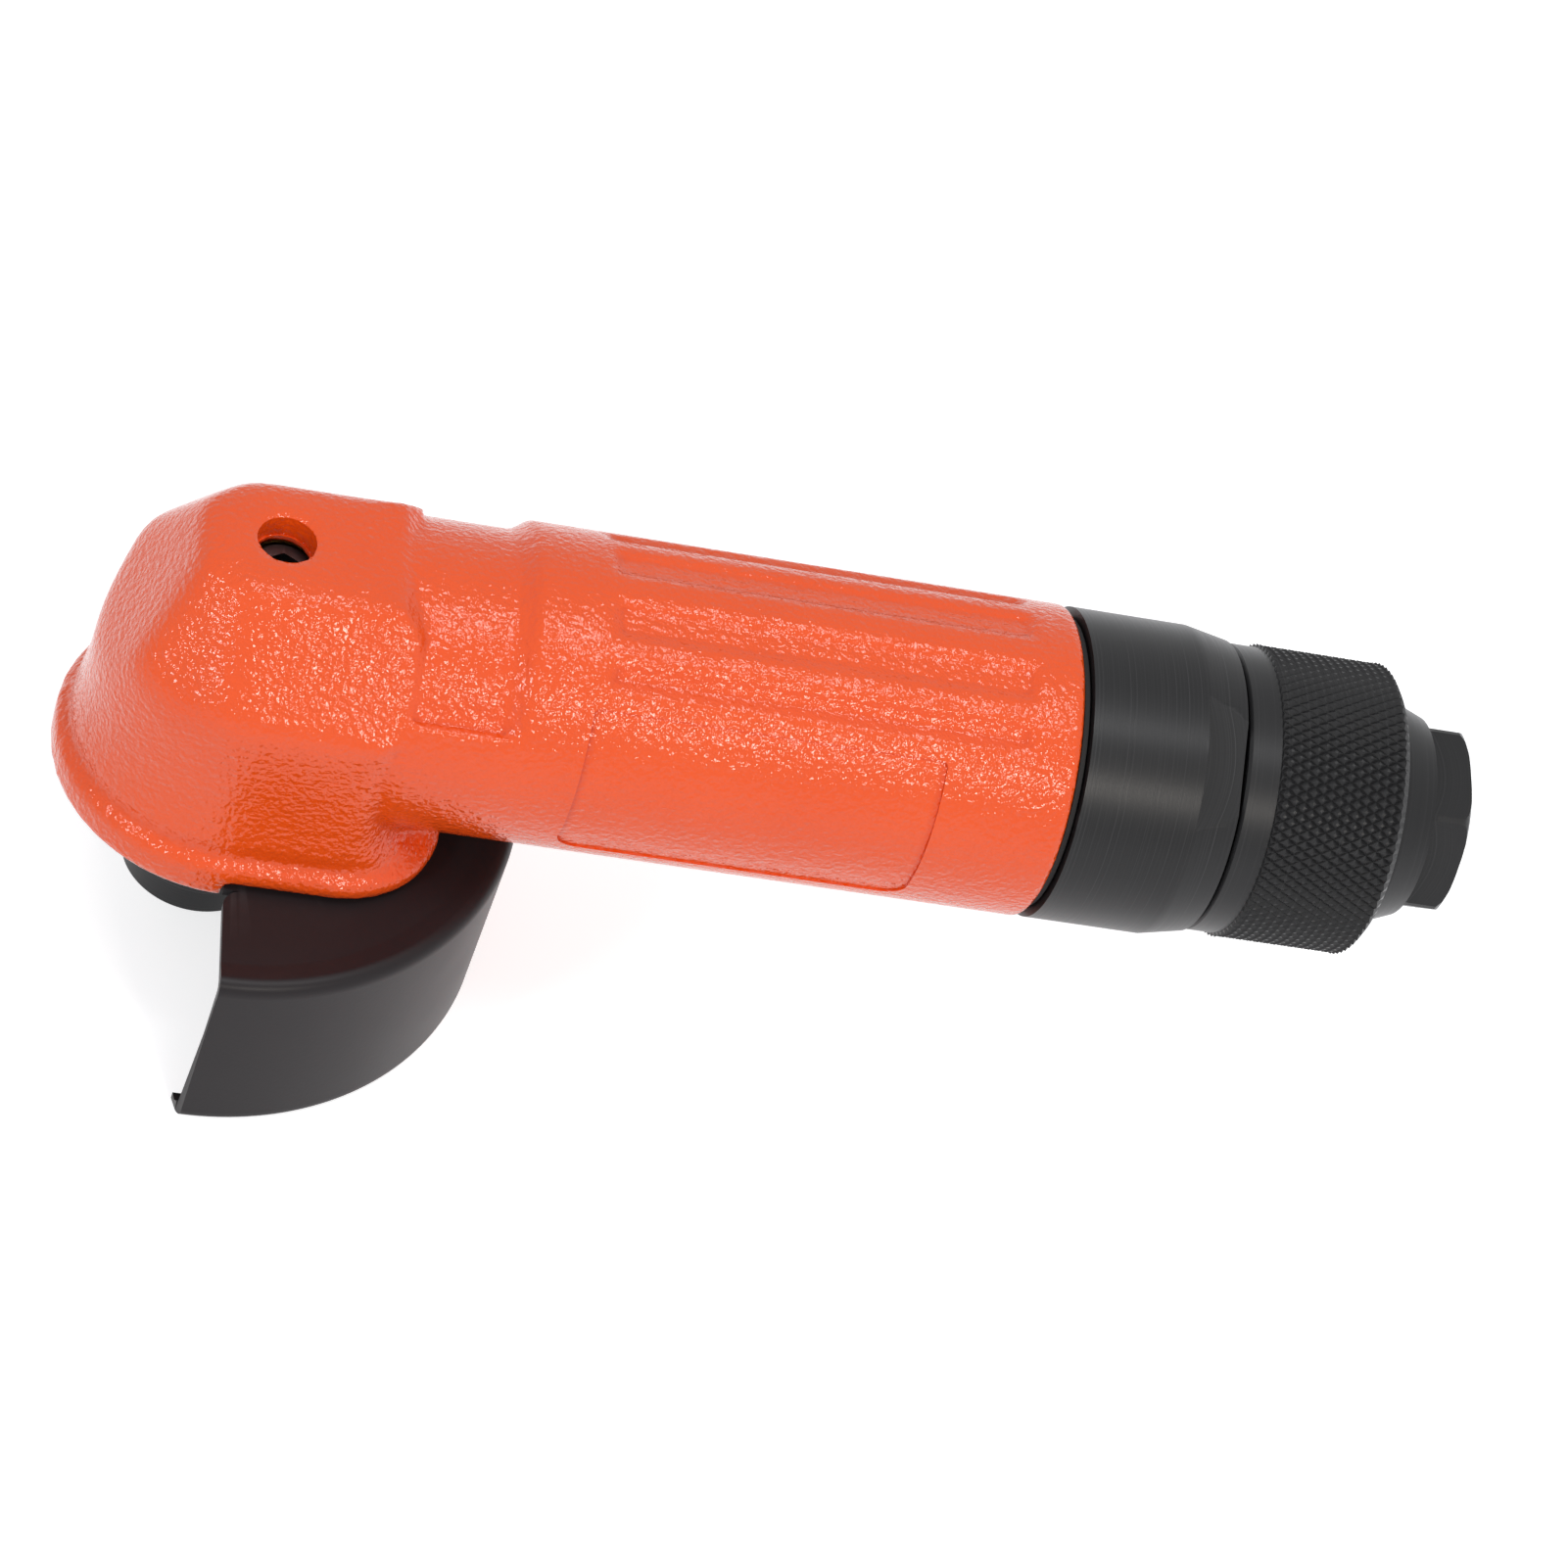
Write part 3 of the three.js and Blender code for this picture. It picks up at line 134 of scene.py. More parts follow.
def background(nodes, color, strength):
    """A background shader for the world."""
    node = nodes.new("ShaderNodeBackground")
    node.inputs["Color"].default_value = color
    node.inputs["Strength"].default_value = strength
    return node.outputs["Background"]


scene = bpy.context.scene
scene.view_settings.view_transform = "Standard"
world = bpy.data.worlds.new("studio")
scene.world = world
world.use_nodes = True
wn, wl = world.node_tree.nodes, world.node_tree.links
wn.clear()
world_out = wn.new("ShaderNodeOutputWorld")
choose = wn.new("ShaderNodeMixShader")
wl.new(rays_that_see_white(world.node_tree), choose.inputs["Fac"])
wl.new(background(wn, FILL_COLOR, FILL_STRENGTH), choose.inputs[1])
wl.new(background(wn, WHITE, 1), choose.inputs[2])
wl.new(choose.outputs["Shader"], world_out.inputs["Surface"])

# %% Lamps
def softbox(name, place, size, power, color=(1, 1, 1)):
    """A rectangular area lamp that faces the part's middle, in metres and watts."""
    data = bpy.data.lights.new(name, "AREA")
    data.shape = "RECTANGLE"
    data.size, data.size_y = size
    data.energy = power
    data.color = color
    lamp = bpy.data.objects.new(name, data)
    scene.collection.objects.link(lamp)
    lamp.location = place
    aim = middle - lamp.location
    lamp.rotation_euler = aim.to_track_quat("-Z", "Y").to_euler()


middle = (cad_box[0] + cad_box[1]) / 2
softbox("overhead", (0.24, -0.11, 1.2), (0.2, 0.56), 3.3)
softbox("front", (0.36, -0.92, 0.72), (0.22, 0.24), 3, (1, 0.94, 0.86))
softbox("front_left", (-0.9, -0.75, 0.78), (0.25, 0.3), 4)
softbox("front_right", (0.95, -0.75, 0.35), (0.5, 0.8), 0.25)

# %% Floor
FLOOR_REACH, FLOOR_GAP = 6, 0.3 * MM
FLOOR_COLOR, FLOOR_GLOW = (0.8, 0.8, 0.81, 1), 0.66
floor_bm = bmesh.new()
bmesh.ops.create_grid(floor_bm, x_segments=1, y_segments=1, size=FLOOR_REACH)
bmesh.ops.translate(floor_bm, verts=floor_bm.verts, vec=(0, 0, cad_box[0].z - FLOOR_GAP))
floor_mesh = bpy.data.meshes.new("floor")
floor_bm.to_mesh(floor_mesh)
floor_bm.free()
floor = bpy.data.objects.new("floor", floor_mesh)
scene.collection.objects.link(floor)
floor_finish = bpy.data.materials.new("studio_floor")
floor_finish.use_nodes = True
floor_tree = floor_finish.node_tree
fn, fl = floor_tree.nodes, floor_tree.links
fn.clear()
floor_out = fn.new("ShaderNodeOutputMaterial")
matt = fn.new("ShaderNodeBsdfDiffuse")
matt.inputs["Color"].default_value = FLOOR_COLOR
glow = fn.new("ShaderNodeEmission")
glow.inputs["Color"].default_value = WHITE
fl.new(math_node(floor_tree, "MULTIPLY", rays_that_see_white(floor_tree), FLOOR_GLOW),
       glow.inputs["Strength"])
both = fn.new("ShaderNodeAddShader")
fl.new(matt.outputs["BSDF"], both.inputs[0])
fl.new(glow.outputs["Emission"], both.inputs[1])
fl.new(both.outputs["Shader"], floor_out.inputs["Surface"])
floor_mesh.materials.append(floor_finish)

# %% [markdown]
# ## Finishes that several materials share
# Three effects come back on many parts, so each is a node group. The first is the grain of
# hammered paint. The second is the fine ring marks of a lathe, which run round an axis. The
# third finds edges, where black oxide wears thin and paint thins out, and concave creases,
# which the orange paint darkens as painted shade. A group gives only masks and heights, and
# each material decides what to do with them.

# %% Tools for groups
def new_group(name, inputs, outputs):
    """A shader group with float or vector sockets, and its input and output nodes."""
    group = bpy.data.node_groups.new(name, "ShaderNodeTree")
    for label, kind, value in inputs:
        socket = group.interface.new_socket(label, in_out="INPUT", socket_type=kind)
        socket.default_value = value
    for label, kind in outputs:
        group.interface.new_socket(label, in_out="OUTPUT", socket_type=kind)
    return group, group.nodes.new("NodeGroupInput"), group.nodes.new("NodeGroupOutput")


def vector_node(tree, operation, first, second=None):
    """One vector math node with sockets as operands."""
    node = tree.nodes.new("ShaderNodeVectorMath")
    node.operation = operation
    tree.links.new(first, node.inputs[0])
    if second is not None:
        tree.links.new(second, node.inputs[1])
    return node


def noise(tree, vector, scale, detail=2.0, roughness=0.5):
    """Noise over a vector. The scale is a number or a socket."""
    node = tree.nodes.new("ShaderNodeTexNoise")
    node.inputs["Detail"].default_value = detail
    node.inputs["Roughness"].default_value = roughness
    feed(tree, node.inputs["Scale"], scale)
    tree.links.new(vector, node.inputs["Vector"])
    return node.outputs["Fac"]


def remap(tree, value, old, new=(0, 1)):
    """Maps a value from one range onto another, and holds it there."""
    node = tree.nodes.new("ShaderNodeMapRange")
    for label, limit in zip(("From Min", "From Max", "To Min", "To Max"), (*old, *new)):
        node.inputs[label].default_value = limit
    tree.links.new(value, node.inputs["Value"])
    return node.outputs["Result"]


def object_place(tree):
    """The place of each point on the piece, which no camera or pose changes."""
    return tree.nodes.new("ShaderNodeTexCoord").outputs["Object"]


# %% Hammered paint grain
COARSE_SIZE = 0.42  # the coarse grain's scale as a share of the fine grain's
TONE_SCALE = 45
grain_group, g_in, g_out = new_group(
    "cast_grain",
    [("Size", "NodeSocketFloat", 800.0), ("Coarse Share", "NodeSocketFloat", 0.4)],
    [("Height", "NodeSocketFloat"), ("Tone", "NodeSocketFloat")])
g_place = object_place(grain_group)
g_fine = noise(grain_group, g_place, g_in.outputs["Size"], 1.5, 0.45)
g_coarse_scale = math_node(grain_group, "MULTIPLY", g_in.outputs["Size"], COARSE_SIZE)
g_coarse = noise(grain_group, g_place, g_coarse_scale, 1.0)
g_coarse_part = math_node(grain_group, "MULTIPLY", g_coarse, g_in.outputs["Coarse Share"])
g_height = math_node(grain_group, "ADD", g_fine, g_coarse_part)
grain_group.links.new(g_height, g_out.inputs["Height"])
grain_group.links.new(noise(grain_group, g_place, TONE_SCALE), g_out.inputs["Tone"])

# %% Lathe marks
SCRATCH_POWER, SCRATCH_GAIN, SCRATCH_SCALE = 7, 9.0, 60
marks_group, m_in, m_out = new_group(
    "lathe_marks",
    [("Axis", "NodeSocketVector", (1, 0, 0)), ("Centre", "NodeSocketVector", (0, 0, 0.06)),
     ("Lines", "NodeSocketFloat", 2600.0)],
    [("Height", "NodeSocketFloat"), ("Scratch", "NodeSocketFloat")])
m_place = object_place(marks_group)
m_from = vector_node(marks_group, "SUBTRACT", m_place, m_in.outputs["Centre"])
m_along = vector_node(marks_group, "DOT_PRODUCT", m_from.outputs[0], m_in.outputs["Axis"])
m_cross = vector_node(marks_group, "CROSS_PRODUCT", m_from.outputs[0], m_in.outputs["Axis"])
m_radius = vector_node(marks_group, "LENGTH", m_cross.outputs[0])
m_reach = math_node(marks_group, "ADD", m_along.outputs["Value"], m_radius.outputs["Value"])
m_lines = marks_group.nodes.new("ShaderNodeTexNoise")
m_lines.noise_dimensions = "1D"
m_lines.inputs["Detail"].default_value = 3
m_lines.inputs["Scale"].default_value = 1
m_count = math_node(marks_group, "MULTIPLY", m_reach, m_in.outputs["Lines"])
marks_group.links.new(m_count, m_lines.inputs["W"])
marks_group.links.new(m_lines.outputs["Fac"], m_out.inputs["Height"])
m_sharp = math_node(marks_group, "POWER", m_lines.outputs["Fac"], SCRATCH_POWER)
m_broken = math_node(marks_group, "MULTIPLY", m_sharp,
                     noise(marks_group, m_place, SCRATCH_SCALE))
m_scratch = math_node(marks_group, "MULTIPLY", m_broken, SCRATCH_GAIN)
marks_group.links.new(m_scratch, m_out.inputs["Scratch"])

# %% Edge wear and crease shade
# The crease range picks concave places, and its mask is used as painted shade.
EDGE_RANGE, CREASE_SHADE_RANGE = (0.54, 0.68), (0.49, 0.4)  # of Pointiness, where 0.5 is flat
edge_and_shade_group, w_in, w_out = new_group(
    "edge_wear_and_crease_shade",
    [("Reach", "NodeSocketFloat", 1.0), ("Patch Size", "NodeSocketFloat", 260.0)],
    [("Mask", "NodeSocketFloat"), ("Crease Shade", "NodeSocketFloat")])
w_pointed = edge_and_shade_group.nodes.new("ShaderNodeNewGeometry").outputs["Pointiness"]
w_patch = noise(edge_and_shade_group, object_place(edge_and_shade_group), w_in.outputs["Patch Size"], 3)
w_broken = math_node(edge_and_shade_group, "MULTIPLY", remap(edge_and_shade_group, w_pointed, EDGE_RANGE), w_patch)
w_mask = math_node(edge_and_shade_group, "MULTIPLY", w_broken, w_in.outputs["Reach"])
edge_and_shade_group.links.new(w_mask, w_out.inputs["Mask"])
edge_and_shade_group.links.new(remap(edge_and_shade_group, w_pointed, CREASE_SHADE_RANGE), w_out.inputs["Crease Shade"])
print("Node groups:", [g.name for g in bpy.data.node_groups])

# %% [markdown]
# ## The materials
# Each finish starts from one Principled shader. The orange paint is glossy over a grained
# casting, the machined black parts are satin with lathe marks, and the guard is smoother satin
# paint. Inner parts are bright ground steel, hardened steel, brass, rubber and vane resin.

# %% Material tools
def new_material(name, color, roughness, metallic=0.0, specular=0.5):
    """A material with plain values on the shader's own sockets."""
    material = bpy.data.materials.new(name)
    material.use_nodes = True
    shader = material.node_tree.nodes["Principled BSDF"]
    shader.inputs["Base Color"].default_value = (*color, 1)
    shader.inputs["Roughness"].default_value = roughness
    shader.inputs["Metallic"].default_value = metallic
    shader.inputs["Specular IOR Level"].default_value = specular
    return material, shader


def place_group(material, group, **values):
    """Puts a shared group into a material and sets its inputs."""
    node = material.node_tree.nodes.new("ShaderNodeGroup")
    node.node_tree = group
    for label, value in values.items():
        node.inputs[label.replace("_", " ")].default_value = value
    return node


def add_bump(material, shader, height, depth, strength=1.0):
    """Feeds a height into the shader's normal. Depth is in mm."""
    bump = material.node_tree.nodes.new("ShaderNodeBump")
    bump.inputs["Distance"].default_value = depth * MM
    bump.inputs["Strength"].default_value = strength
    material.node_tree.links.new(height, bump.inputs["Height"])
    material.node_tree.links.new(bump.outputs["Normal"], shader.inputs["Normal"])


def vary_roughness(material, shader, value, low, high):
    """Lets a 0 to 1 value drive the roughness between two limits."""
    roughness = remap(material.node_tree, value, (0, 1), (low, high))
    material.node_tree.links.new(roughness, shader.inputs["Roughness"])


def blend_colors(material, factor, first, second):
    """Mixes two colours by a factor socket. The first may be a socket too."""
    node = material.node_tree.nodes.new("ShaderNodeMix")
    node.data_type = "RGBA"
    feed(material.node_tree, node.inputs["Factor"], factor)
    feed(material.node_tree, node.inputs[6], (*first, 1) if isinstance(first, tuple) else first)
    feed(material.node_tree, node.inputs[7], (*second, 1))
    return node.outputs[2]


# %% Orange paint
ORANGE = (0.87, 0.087, 0.006)
ORANGE_TONES = (0.84, 0.079, 0.004), (0.9, 0.095, 0.008)
# A deeper orange for painted shade in concave corners, and a pinker orange for the edges, which is
# partly thin worn paint and partly painted highlight.
ORANGE_CREASE_SHADE, ORANGE_EDGE_AND_HIGHLIGHT = (0.58, 0.042, 0.004), (0.9, 0.16, 0.06)
orange_paint, shader = new_material("hammered_orange_paint", ORANGE, 0.2, specular=0.45)
grain = place_group(orange_paint, grain_group, Size=1000.0, Coarse_Share=0.42)
edge = place_group(orange_paint, edge_and_shade_group, Reach=0.4, Patch_Size=300.0)
add_bump(orange_paint, shader, grain.outputs["Height"], 0.34)
vary_roughness(orange_paint, shader, grain.outputs["Tone"], 0.07, 0.1)
tone = blend_colors(orange_paint, grain.outputs["Tone"], *ORANGE_TONES)
# Painted shade: concave corners and creases get the deeper orange.
tone = blend_colors(orange_paint, edge.outputs["Crease Shade"], tone, ORANGE_CREASE_SHADE)
# The edge mask lightens convex edges and ridges, partly as thin worn paint and partly as a painted
# highlight.
tone = blend_colors(orange_paint, edge.outputs["Mask"], tone, ORANGE_EDGE_AND_HIGHLIGHT)
orange_paint.node_tree.links.new(tone, shader.inputs["Base Color"])

# %% Guard paint
# The guard's black carries a faint warm-purple tint, a painted reflection of the orange housing
# above it.
GUARD_BLACK_WITH_PAINTED_REFLECTION, GUARD_EDGE = (0.018, 0.015, 0.0165), (0.07, 0.068, 0.07)
guard_paint, shader = new_material("satin_guard_paint", GUARD_BLACK_WITH_PAINTED_REFLECTION, 0.36, specular=0.19)
grain = place_group(guard_paint, grain_group, Size=1500.0, Coarse_Share=0.5)
edge = place_group(guard_paint, edge_and_shade_group, Reach=0.7, Patch_Size=260.0)
add_bump(guard_paint, shader, grain.outputs["Height"], 0.02, 0.5)
vary_roughness(guard_paint, shader, grain.outputs["Tone"], 0.32, 0.42)
tone = blend_colors(guard_paint, edge.outputs["Mask"], GUARD_BLACK_WITH_PAINTED_REFLECTION, GUARD_EDGE)
guard_paint.node_tree.links.new(tone, shader.inputs["Base Color"])

# %% Machined black
OXIDE, OXIDE_WORN = (0.0125, 0.0125, 0.0135), (0.11, 0.11, 0.115)
SCRATCH_SHARE = 0.2
handle_centre = Vector((0, 0, 60 * MM))
# The directions and centres that lathe marks run round
LATHE_AXES = {"handle": ((1, 0, 0), handle_centre), "spindle": ((0, 0, 1), (0, 0, 0))}


def machined_black(name, turned_round, lift=1.0):
    """Black oxide on turned steel, with lathe marks round the handle's or spindle's axis."""
    base = tuple(channel * lift for channel in OXIDE)
    axis, centre = LATHE_AXES[turned_round]
    material, shader = new_material(name, base, 0.34, metallic=0.1, specular=0.3)
    tree = material.node_tree
    marks = place_group(material, marks_group, Axis=axis, Centre=centre, Lines=2600.0)
    edge = place_group(material, edge_and_shade_group, Reach=0.5, Patch_Size=420.0)
    add_bump(material, shader, marks.outputs["Height"], 0.02, 0.35)
    vary_roughness(material, shader, marks.outputs["Height"], 0.28, 0.42)
    scratches = math_node(tree, "MULTIPLY", marks.outputs["Scratch"], SCRATCH_SHARE)
    worn = math_node(tree, "MAXIMUM", edge.outputs["Mask"], scratches)
    tree.links.new(blend_colors(material, worn, base, OXIDE_WORN), shader.inputs["Base Color"])
    return material


black_along_x = machined_black("black_oxide_along_handle", "handle")
black_along_z = machined_black("black_oxide_along_spindle", "spindle")
knurl_black = machined_black("black_oxide_knurl", "handle", lift=1.1)

# %% Inner metals
# Each metal's colour, roughness and the colour of its worn edges
METALS = {
    "ground_steel": ((0.48, 0.5, 0.52), 0.26, (0.7, 0.71, 0.72)),
    "hardened_steel": ((0.11, 0.115, 0.12), 0.38, (0.3, 0.3, 0.31)),
    "machined_brass": ((0.46, 0.29, 0.1), 0.3, (0.75, 0.55, 0.28)),
}


def turned_metal(metal, turned_round):
    """Bare turned or ground metal with fine marks round the handle's or spindle's axis."""
    color, roughness, edge_color = METALS[metal]
    axis, centre = LATHE_AXES[turned_round]
    name = f"{metal}_along_{turned_round}"
    material, shader = new_material(name, color, roughness, metallic=1.0)
    marks = place_group(material, marks_group, Axis=axis, Centre=centre, Lines=3800.0)
    edge = place_group(material, edge_and_shade_group, Reach=0.6, Patch_Size=500.0)
    add_bump(material, shader, marks.outputs["Height"], 0.01, 0.3)
    vary_roughness(material, shader, marks.outputs["Height"], roughness - 0.06, roughness + 0.06)
    tone = blend_colors(material, edge.outputs["Mask"], color, edge_color)
    material.node_tree.links.new(tone, shader.inputs["Base Color"])
    return material


metal_pairs = {metal: (turned_metal(metal, "handle"), turned_metal(metal, "spindle"))
               for metal in METALS}

# %% Rubber and resin
rubber, shader = new_material("matt_black_rubber", (0.012, 0.012, 0.012), 0.75)
grain = place_group(rubber, grain_group, Size=2200.0, Coarse_Share=0.3)
add_bump(rubber, shader, grain.outputs["Height"], 0.02, 0.5)
vary_roughness(rubber, shader, grain.outputs["Tone"], 0.65, 0.85)

RESIN_TONES = (0.14, 0.06, 0.024), (0.24, 0.11, 0.05)
resin, shader = new_material("vane_resin_sheet", (0.19, 0.085, 0.035), 0.55)
grain = place_group(resin, grain_group, Size=1800.0, Coarse_Share=0.6)
add_bump(resin, shader, grain.outputs["Height"], 0.02, 0.4)
tone = blend_colors(resin, grain.outputs["Tone"], *RESIN_TONES)
resin.node_tree.links.new(tone, shader.inputs["Base Color"])
print("Materials:", len(bpy.data.materials))

# %% [markdown]
# ## Tools for turned pieces
# Most of the black parts are turned on a lathe, so each is a profile spun round its axis. The
# profile is a list of places along the axis and radii. The spin makes 160 steps, which hides
# the facets, and a small bevel catches the light on each sharp edge.

# %% Spinning a profile
X_AXIS, Z_AXIS = "x", "z"
SPIN_STEPS = 160


def on_axis(axis, along, radius):
    """A point at a distance along the handle's or the spindle's axis, and at a radius from it."""
    if axis == X_AXIS:
        return handle_centre + Vector((along, 0, radius)) * MM
    return Vector((radius, 0, along)) * MM


def with_edge_rings(profile, closed, margin=0.8):
    """Adds points close to both ends of each long side, so that edge wear stays at the edges."""
    ends = profile[1:] + (profile[:1] if closed else [])
    full = []
    for start, end in zip(profile, ends):
        start, side = Vector(start), Vector(end) - Vector(start)
        full.append(tuple(start))
        if side.length > 4 * margin:
            step = side.normalized() * margin
            full += [tuple(start + step), tuple(start + side - step)]
    return full if closed else full + profile[-1:]


def spun(profile, axis, steps=SPIN_STEPS, closed=True):
    """Spins a profile of (along, radius) pairs in mm. A closed profile is a ring's section."""
    bm = bmesh.new()
    profile = with_edge_rings(profile, closed)
    verts = [bm.verts.new(on_axis(axis, along, radius)) for along, radius in profile]
    pairs = list(zip(verts, verts[1:])) + ([(verts[-1], verts[0])] if closed else [])
    edges = [bm.edges.new(pair) for pair in pairs]
    bmesh.ops.spin(
        bm, geom=verts + edges, cent=handle_centre if axis == X_AXIS else (0, 0, 0),
        axis=(1, 0, 0) if axis == X_AXIS else (0, 0, 1), angle=math.tau, steps=steps,
        use_merge=True)
    bmesh.ops.remove_doubles(bm, verts=bm.verts, dist=0.002 * MM)
    bmesh.ops.recalc_face_normals(bm, faces=bm.faces)
    return bm


def soften_edges(bm, width, least_angle):
    """Bevels every edge where two faces meet at more than the least angle. Width is in mm."""
    sharp = [edge for edge in bm.edges
             if len(edge.link_faces) == 2
             and edge.calc_face_angle(0) > math.radians(least_angle)]
    bmesh.ops.bevel(bm, geom=sharp, offset=width * MM, affect="EDGES", segments=2,
                    profile=0.5, clamp_overlap=True, material=-1)


def in_mm(corners):
    """The two corners of a box in mm."""
    return [corner / MM for corner in corners]


# %% Cutting and finishing a piece
def mesh_object(name, bm):
    """A new object at the origin from a bmesh."""
    mesh = bpy.data.meshes.new(name)
    bm.to_mesh(mesh)
    bm.free()
    piece = bpy.data.objects.new(name, mesh)
    scene.collection.objects.link(piece)
    return piece


def apply_modifiers(piece):
    """Makes what a piece's modifiers show its own mesh, and removes them."""
    graph = bpy.context.evaluated_depsgraph_get()
    shown = bpy.data.meshes.new_from_object(piece.evaluated_get(graph))
    piece.modifiers.clear()
    old, piece.data = piece.data, shown
    bpy.data.meshes.remove(old)


def cut_with(piece, cutter_bm):
    """Subtracts a closed bmesh from a piece, and keeps the result as its mesh."""
    cutter = mesh_object("cutter", cutter_bm)
    boolean = piece.modifiers.new("cut", "BOOLEAN")
    boolean.operation = "DIFFERENCE"
    boolean.solver = "EXACT"
    boolean.object = cutter
    apply_modifiers(piece)
    bpy.data.objects.remove(cutter)


def soften_piece(piece, merge, width, least_angle, dissolve=False):
    """Merges what a cut left too close together, then bevels the sharp edges, all in mm."""
    bm = bmesh.new()
    bm.from_mesh(piece.data)
    bmesh.ops.remove_doubles(bm, verts=bm.verts, dist=merge * MM)
    if dissolve:
        bmesh.ops.dissolve_degenerate(bm, edges=bm.edges, dist=merge * MM)
    soften_edges(bm, width, least_angle)
    bm.to_mesh(piece.data)
    bm.free()


def finish_piece(piece, body, material, stands_for, smooth_angle=30):
    """Shades a piece, gives it its material, ties it to its CAD body, and hides the CAD node it
    stands for.
    """
    mesh = piece.data
    mesh.materials.clear()
    mesh.materials.append(material)
    mesh.shade_smooth()
    mesh.set_sharp_from_angle(angle=math.radians(smooth_angle))
    weighted = piece.modifiers.new("even_shading", "WEIGHTED_NORMAL")
    weighted.keep_sharp = True
    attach(piece, body)
    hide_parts(stands_for)
    print(piece.name, "has", len(mesh.polygons), "faces")


# %% Cutters
def upright_rod(radius, low, high, sides, x=0, y=0):
    """A closed rod along z between two heights, all in mm."""
    bm = bmesh.new()
    bmesh.ops.create_cone(bm, cap_ends=True, segments=sides, radius1=radius * MM,
                          radius2=radius * MM, depth=(high - low) * MM)
    bmesh.ops.translate(bm, verts=bm.verts, vec=Vector((x, y, (low + high) / 2)) * MM)
    return bm


def box_mesh(low, high):
    """A closed box between two corners in mm."""
    bm = bmesh.new()
    bmesh.ops.create_cube(bm, size=1)
    low, high = Vector(low) * MM, Vector(high) * MM
    bmesh.ops.scale(bm, verts=bm.verts, vec=high - low)
    bmesh.ops.translate(bm, verts=bm.verts, vec=(low + high) / 2)
    return bm


def mill_flat(piece, low, high, turn):
    """Cuts a flat with a box above the handle's axis that is turned about that axis."""
    flat_bm = box_mesh(low, high)
    bmesh.ops.rotate(flat_bm, verts=flat_bm.verts, cent=(0, 0, 0),
                     matrix=Matrix.Rotation(turn, 3, "X"))
    bmesh.ops.translate(flat_bm, verts=flat_bm.verts, vec=handle_centre)
    cut_with(piece, flat_bm)


# %% [markdown]
# ## The cast housing
# The real housing is an aluminium casting: every corner is round, the facets of the head melt
# into each other, and only the machined rim is crisp. The CAD solid has the right planes but
# sharp edges. A copy is remeshed into an even grid and then smoothed in three passes: the crown
# of the head strongly, its flange and the neck less, and the grip hardly at all, so that the
# flutes keep their edges. Before that, the facets of the round grip are pushed out to the true
# circle. The lock hole and the shallow side panels are cut last, so that their edges stay crisp.

# %% Measures of the casting
# All in mm, and angles in degrees down from the top of the grip. A pair is where a change
# starts and where it ends.
GRIP_SIDES, GRIP_START, GRIP_SKIN = 40, 24, 24
GRIP_RADIUS, NECK_RADIUS = 28, 25.9
RIM_ROUND, RIM_REACH, RIM_MARGIN = 1.2, 2.2, 0.55
SADDLE_X, SADDLE_DOWN = (24.5, 43), (58, 86)
SADDLE_OUT_X, SADDLE_OUT_DOWN = (40.5, 43.1), (63, 84)
FLANGE_REAR, FLANGE_SIDE, FLANGE_CORNER, FLANGE_FACET = 37.8, 31, 19, 30
FLANGE_SKIN, FLANGE_Z = 15, (35, 42)
COVE_Z, COVE_REACH, COVE_DEPTH = 36.4, 2.6, 0.9
COVE_SKIN, COVE_X = 26, (20, 30)
PANEL_START, PANEL_END = 54.3, 117
PANEL_TOP, PANEL_BOTTOM, CAD_PANEL_BOTTOM = 47.5, 116, 101
PANEL_DEPTH = 0.4
VOXEL_MM, QUICK_VOXEL_MM = 0.87, 1.4
housing_low, housing_high = in_mm(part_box("housing"))
grip_end = housing_high.x


# %% Rounding the facets
def ramp(value, start, end):
    """0 before start, 1 after end, with an even slope between."""
    return min(1.0, max(0.0, (value - start) / (end - start)))


def grip_radius(point):
    """Distance from the handle's axis in mm."""
    return math.hypot(point.y, point.z - handle_centre.z) / MM


def rim_radius(x):
    """The grip's radius near its rear end, with a rounded rim."""
    inward = min(RIM_ROUND, max(0, x - (grip_end - RIM_ROUND)))
    return GRIP_RADIUS - RIM_ROUND + math.sqrt(RIM_ROUND ** 2 - inward ** 2)


def far_saddle_radius(x, down):
    """The neck's radius on the far side, where the saddle runs out gently."""
    out = max(ramp(down, *SADDLE_OUT_DOWN), ramp(x, *SADDLE_OUT_X))
    return NECK_RADIUS + (GRIP_RADIUS - NECK_RADIUS) * out


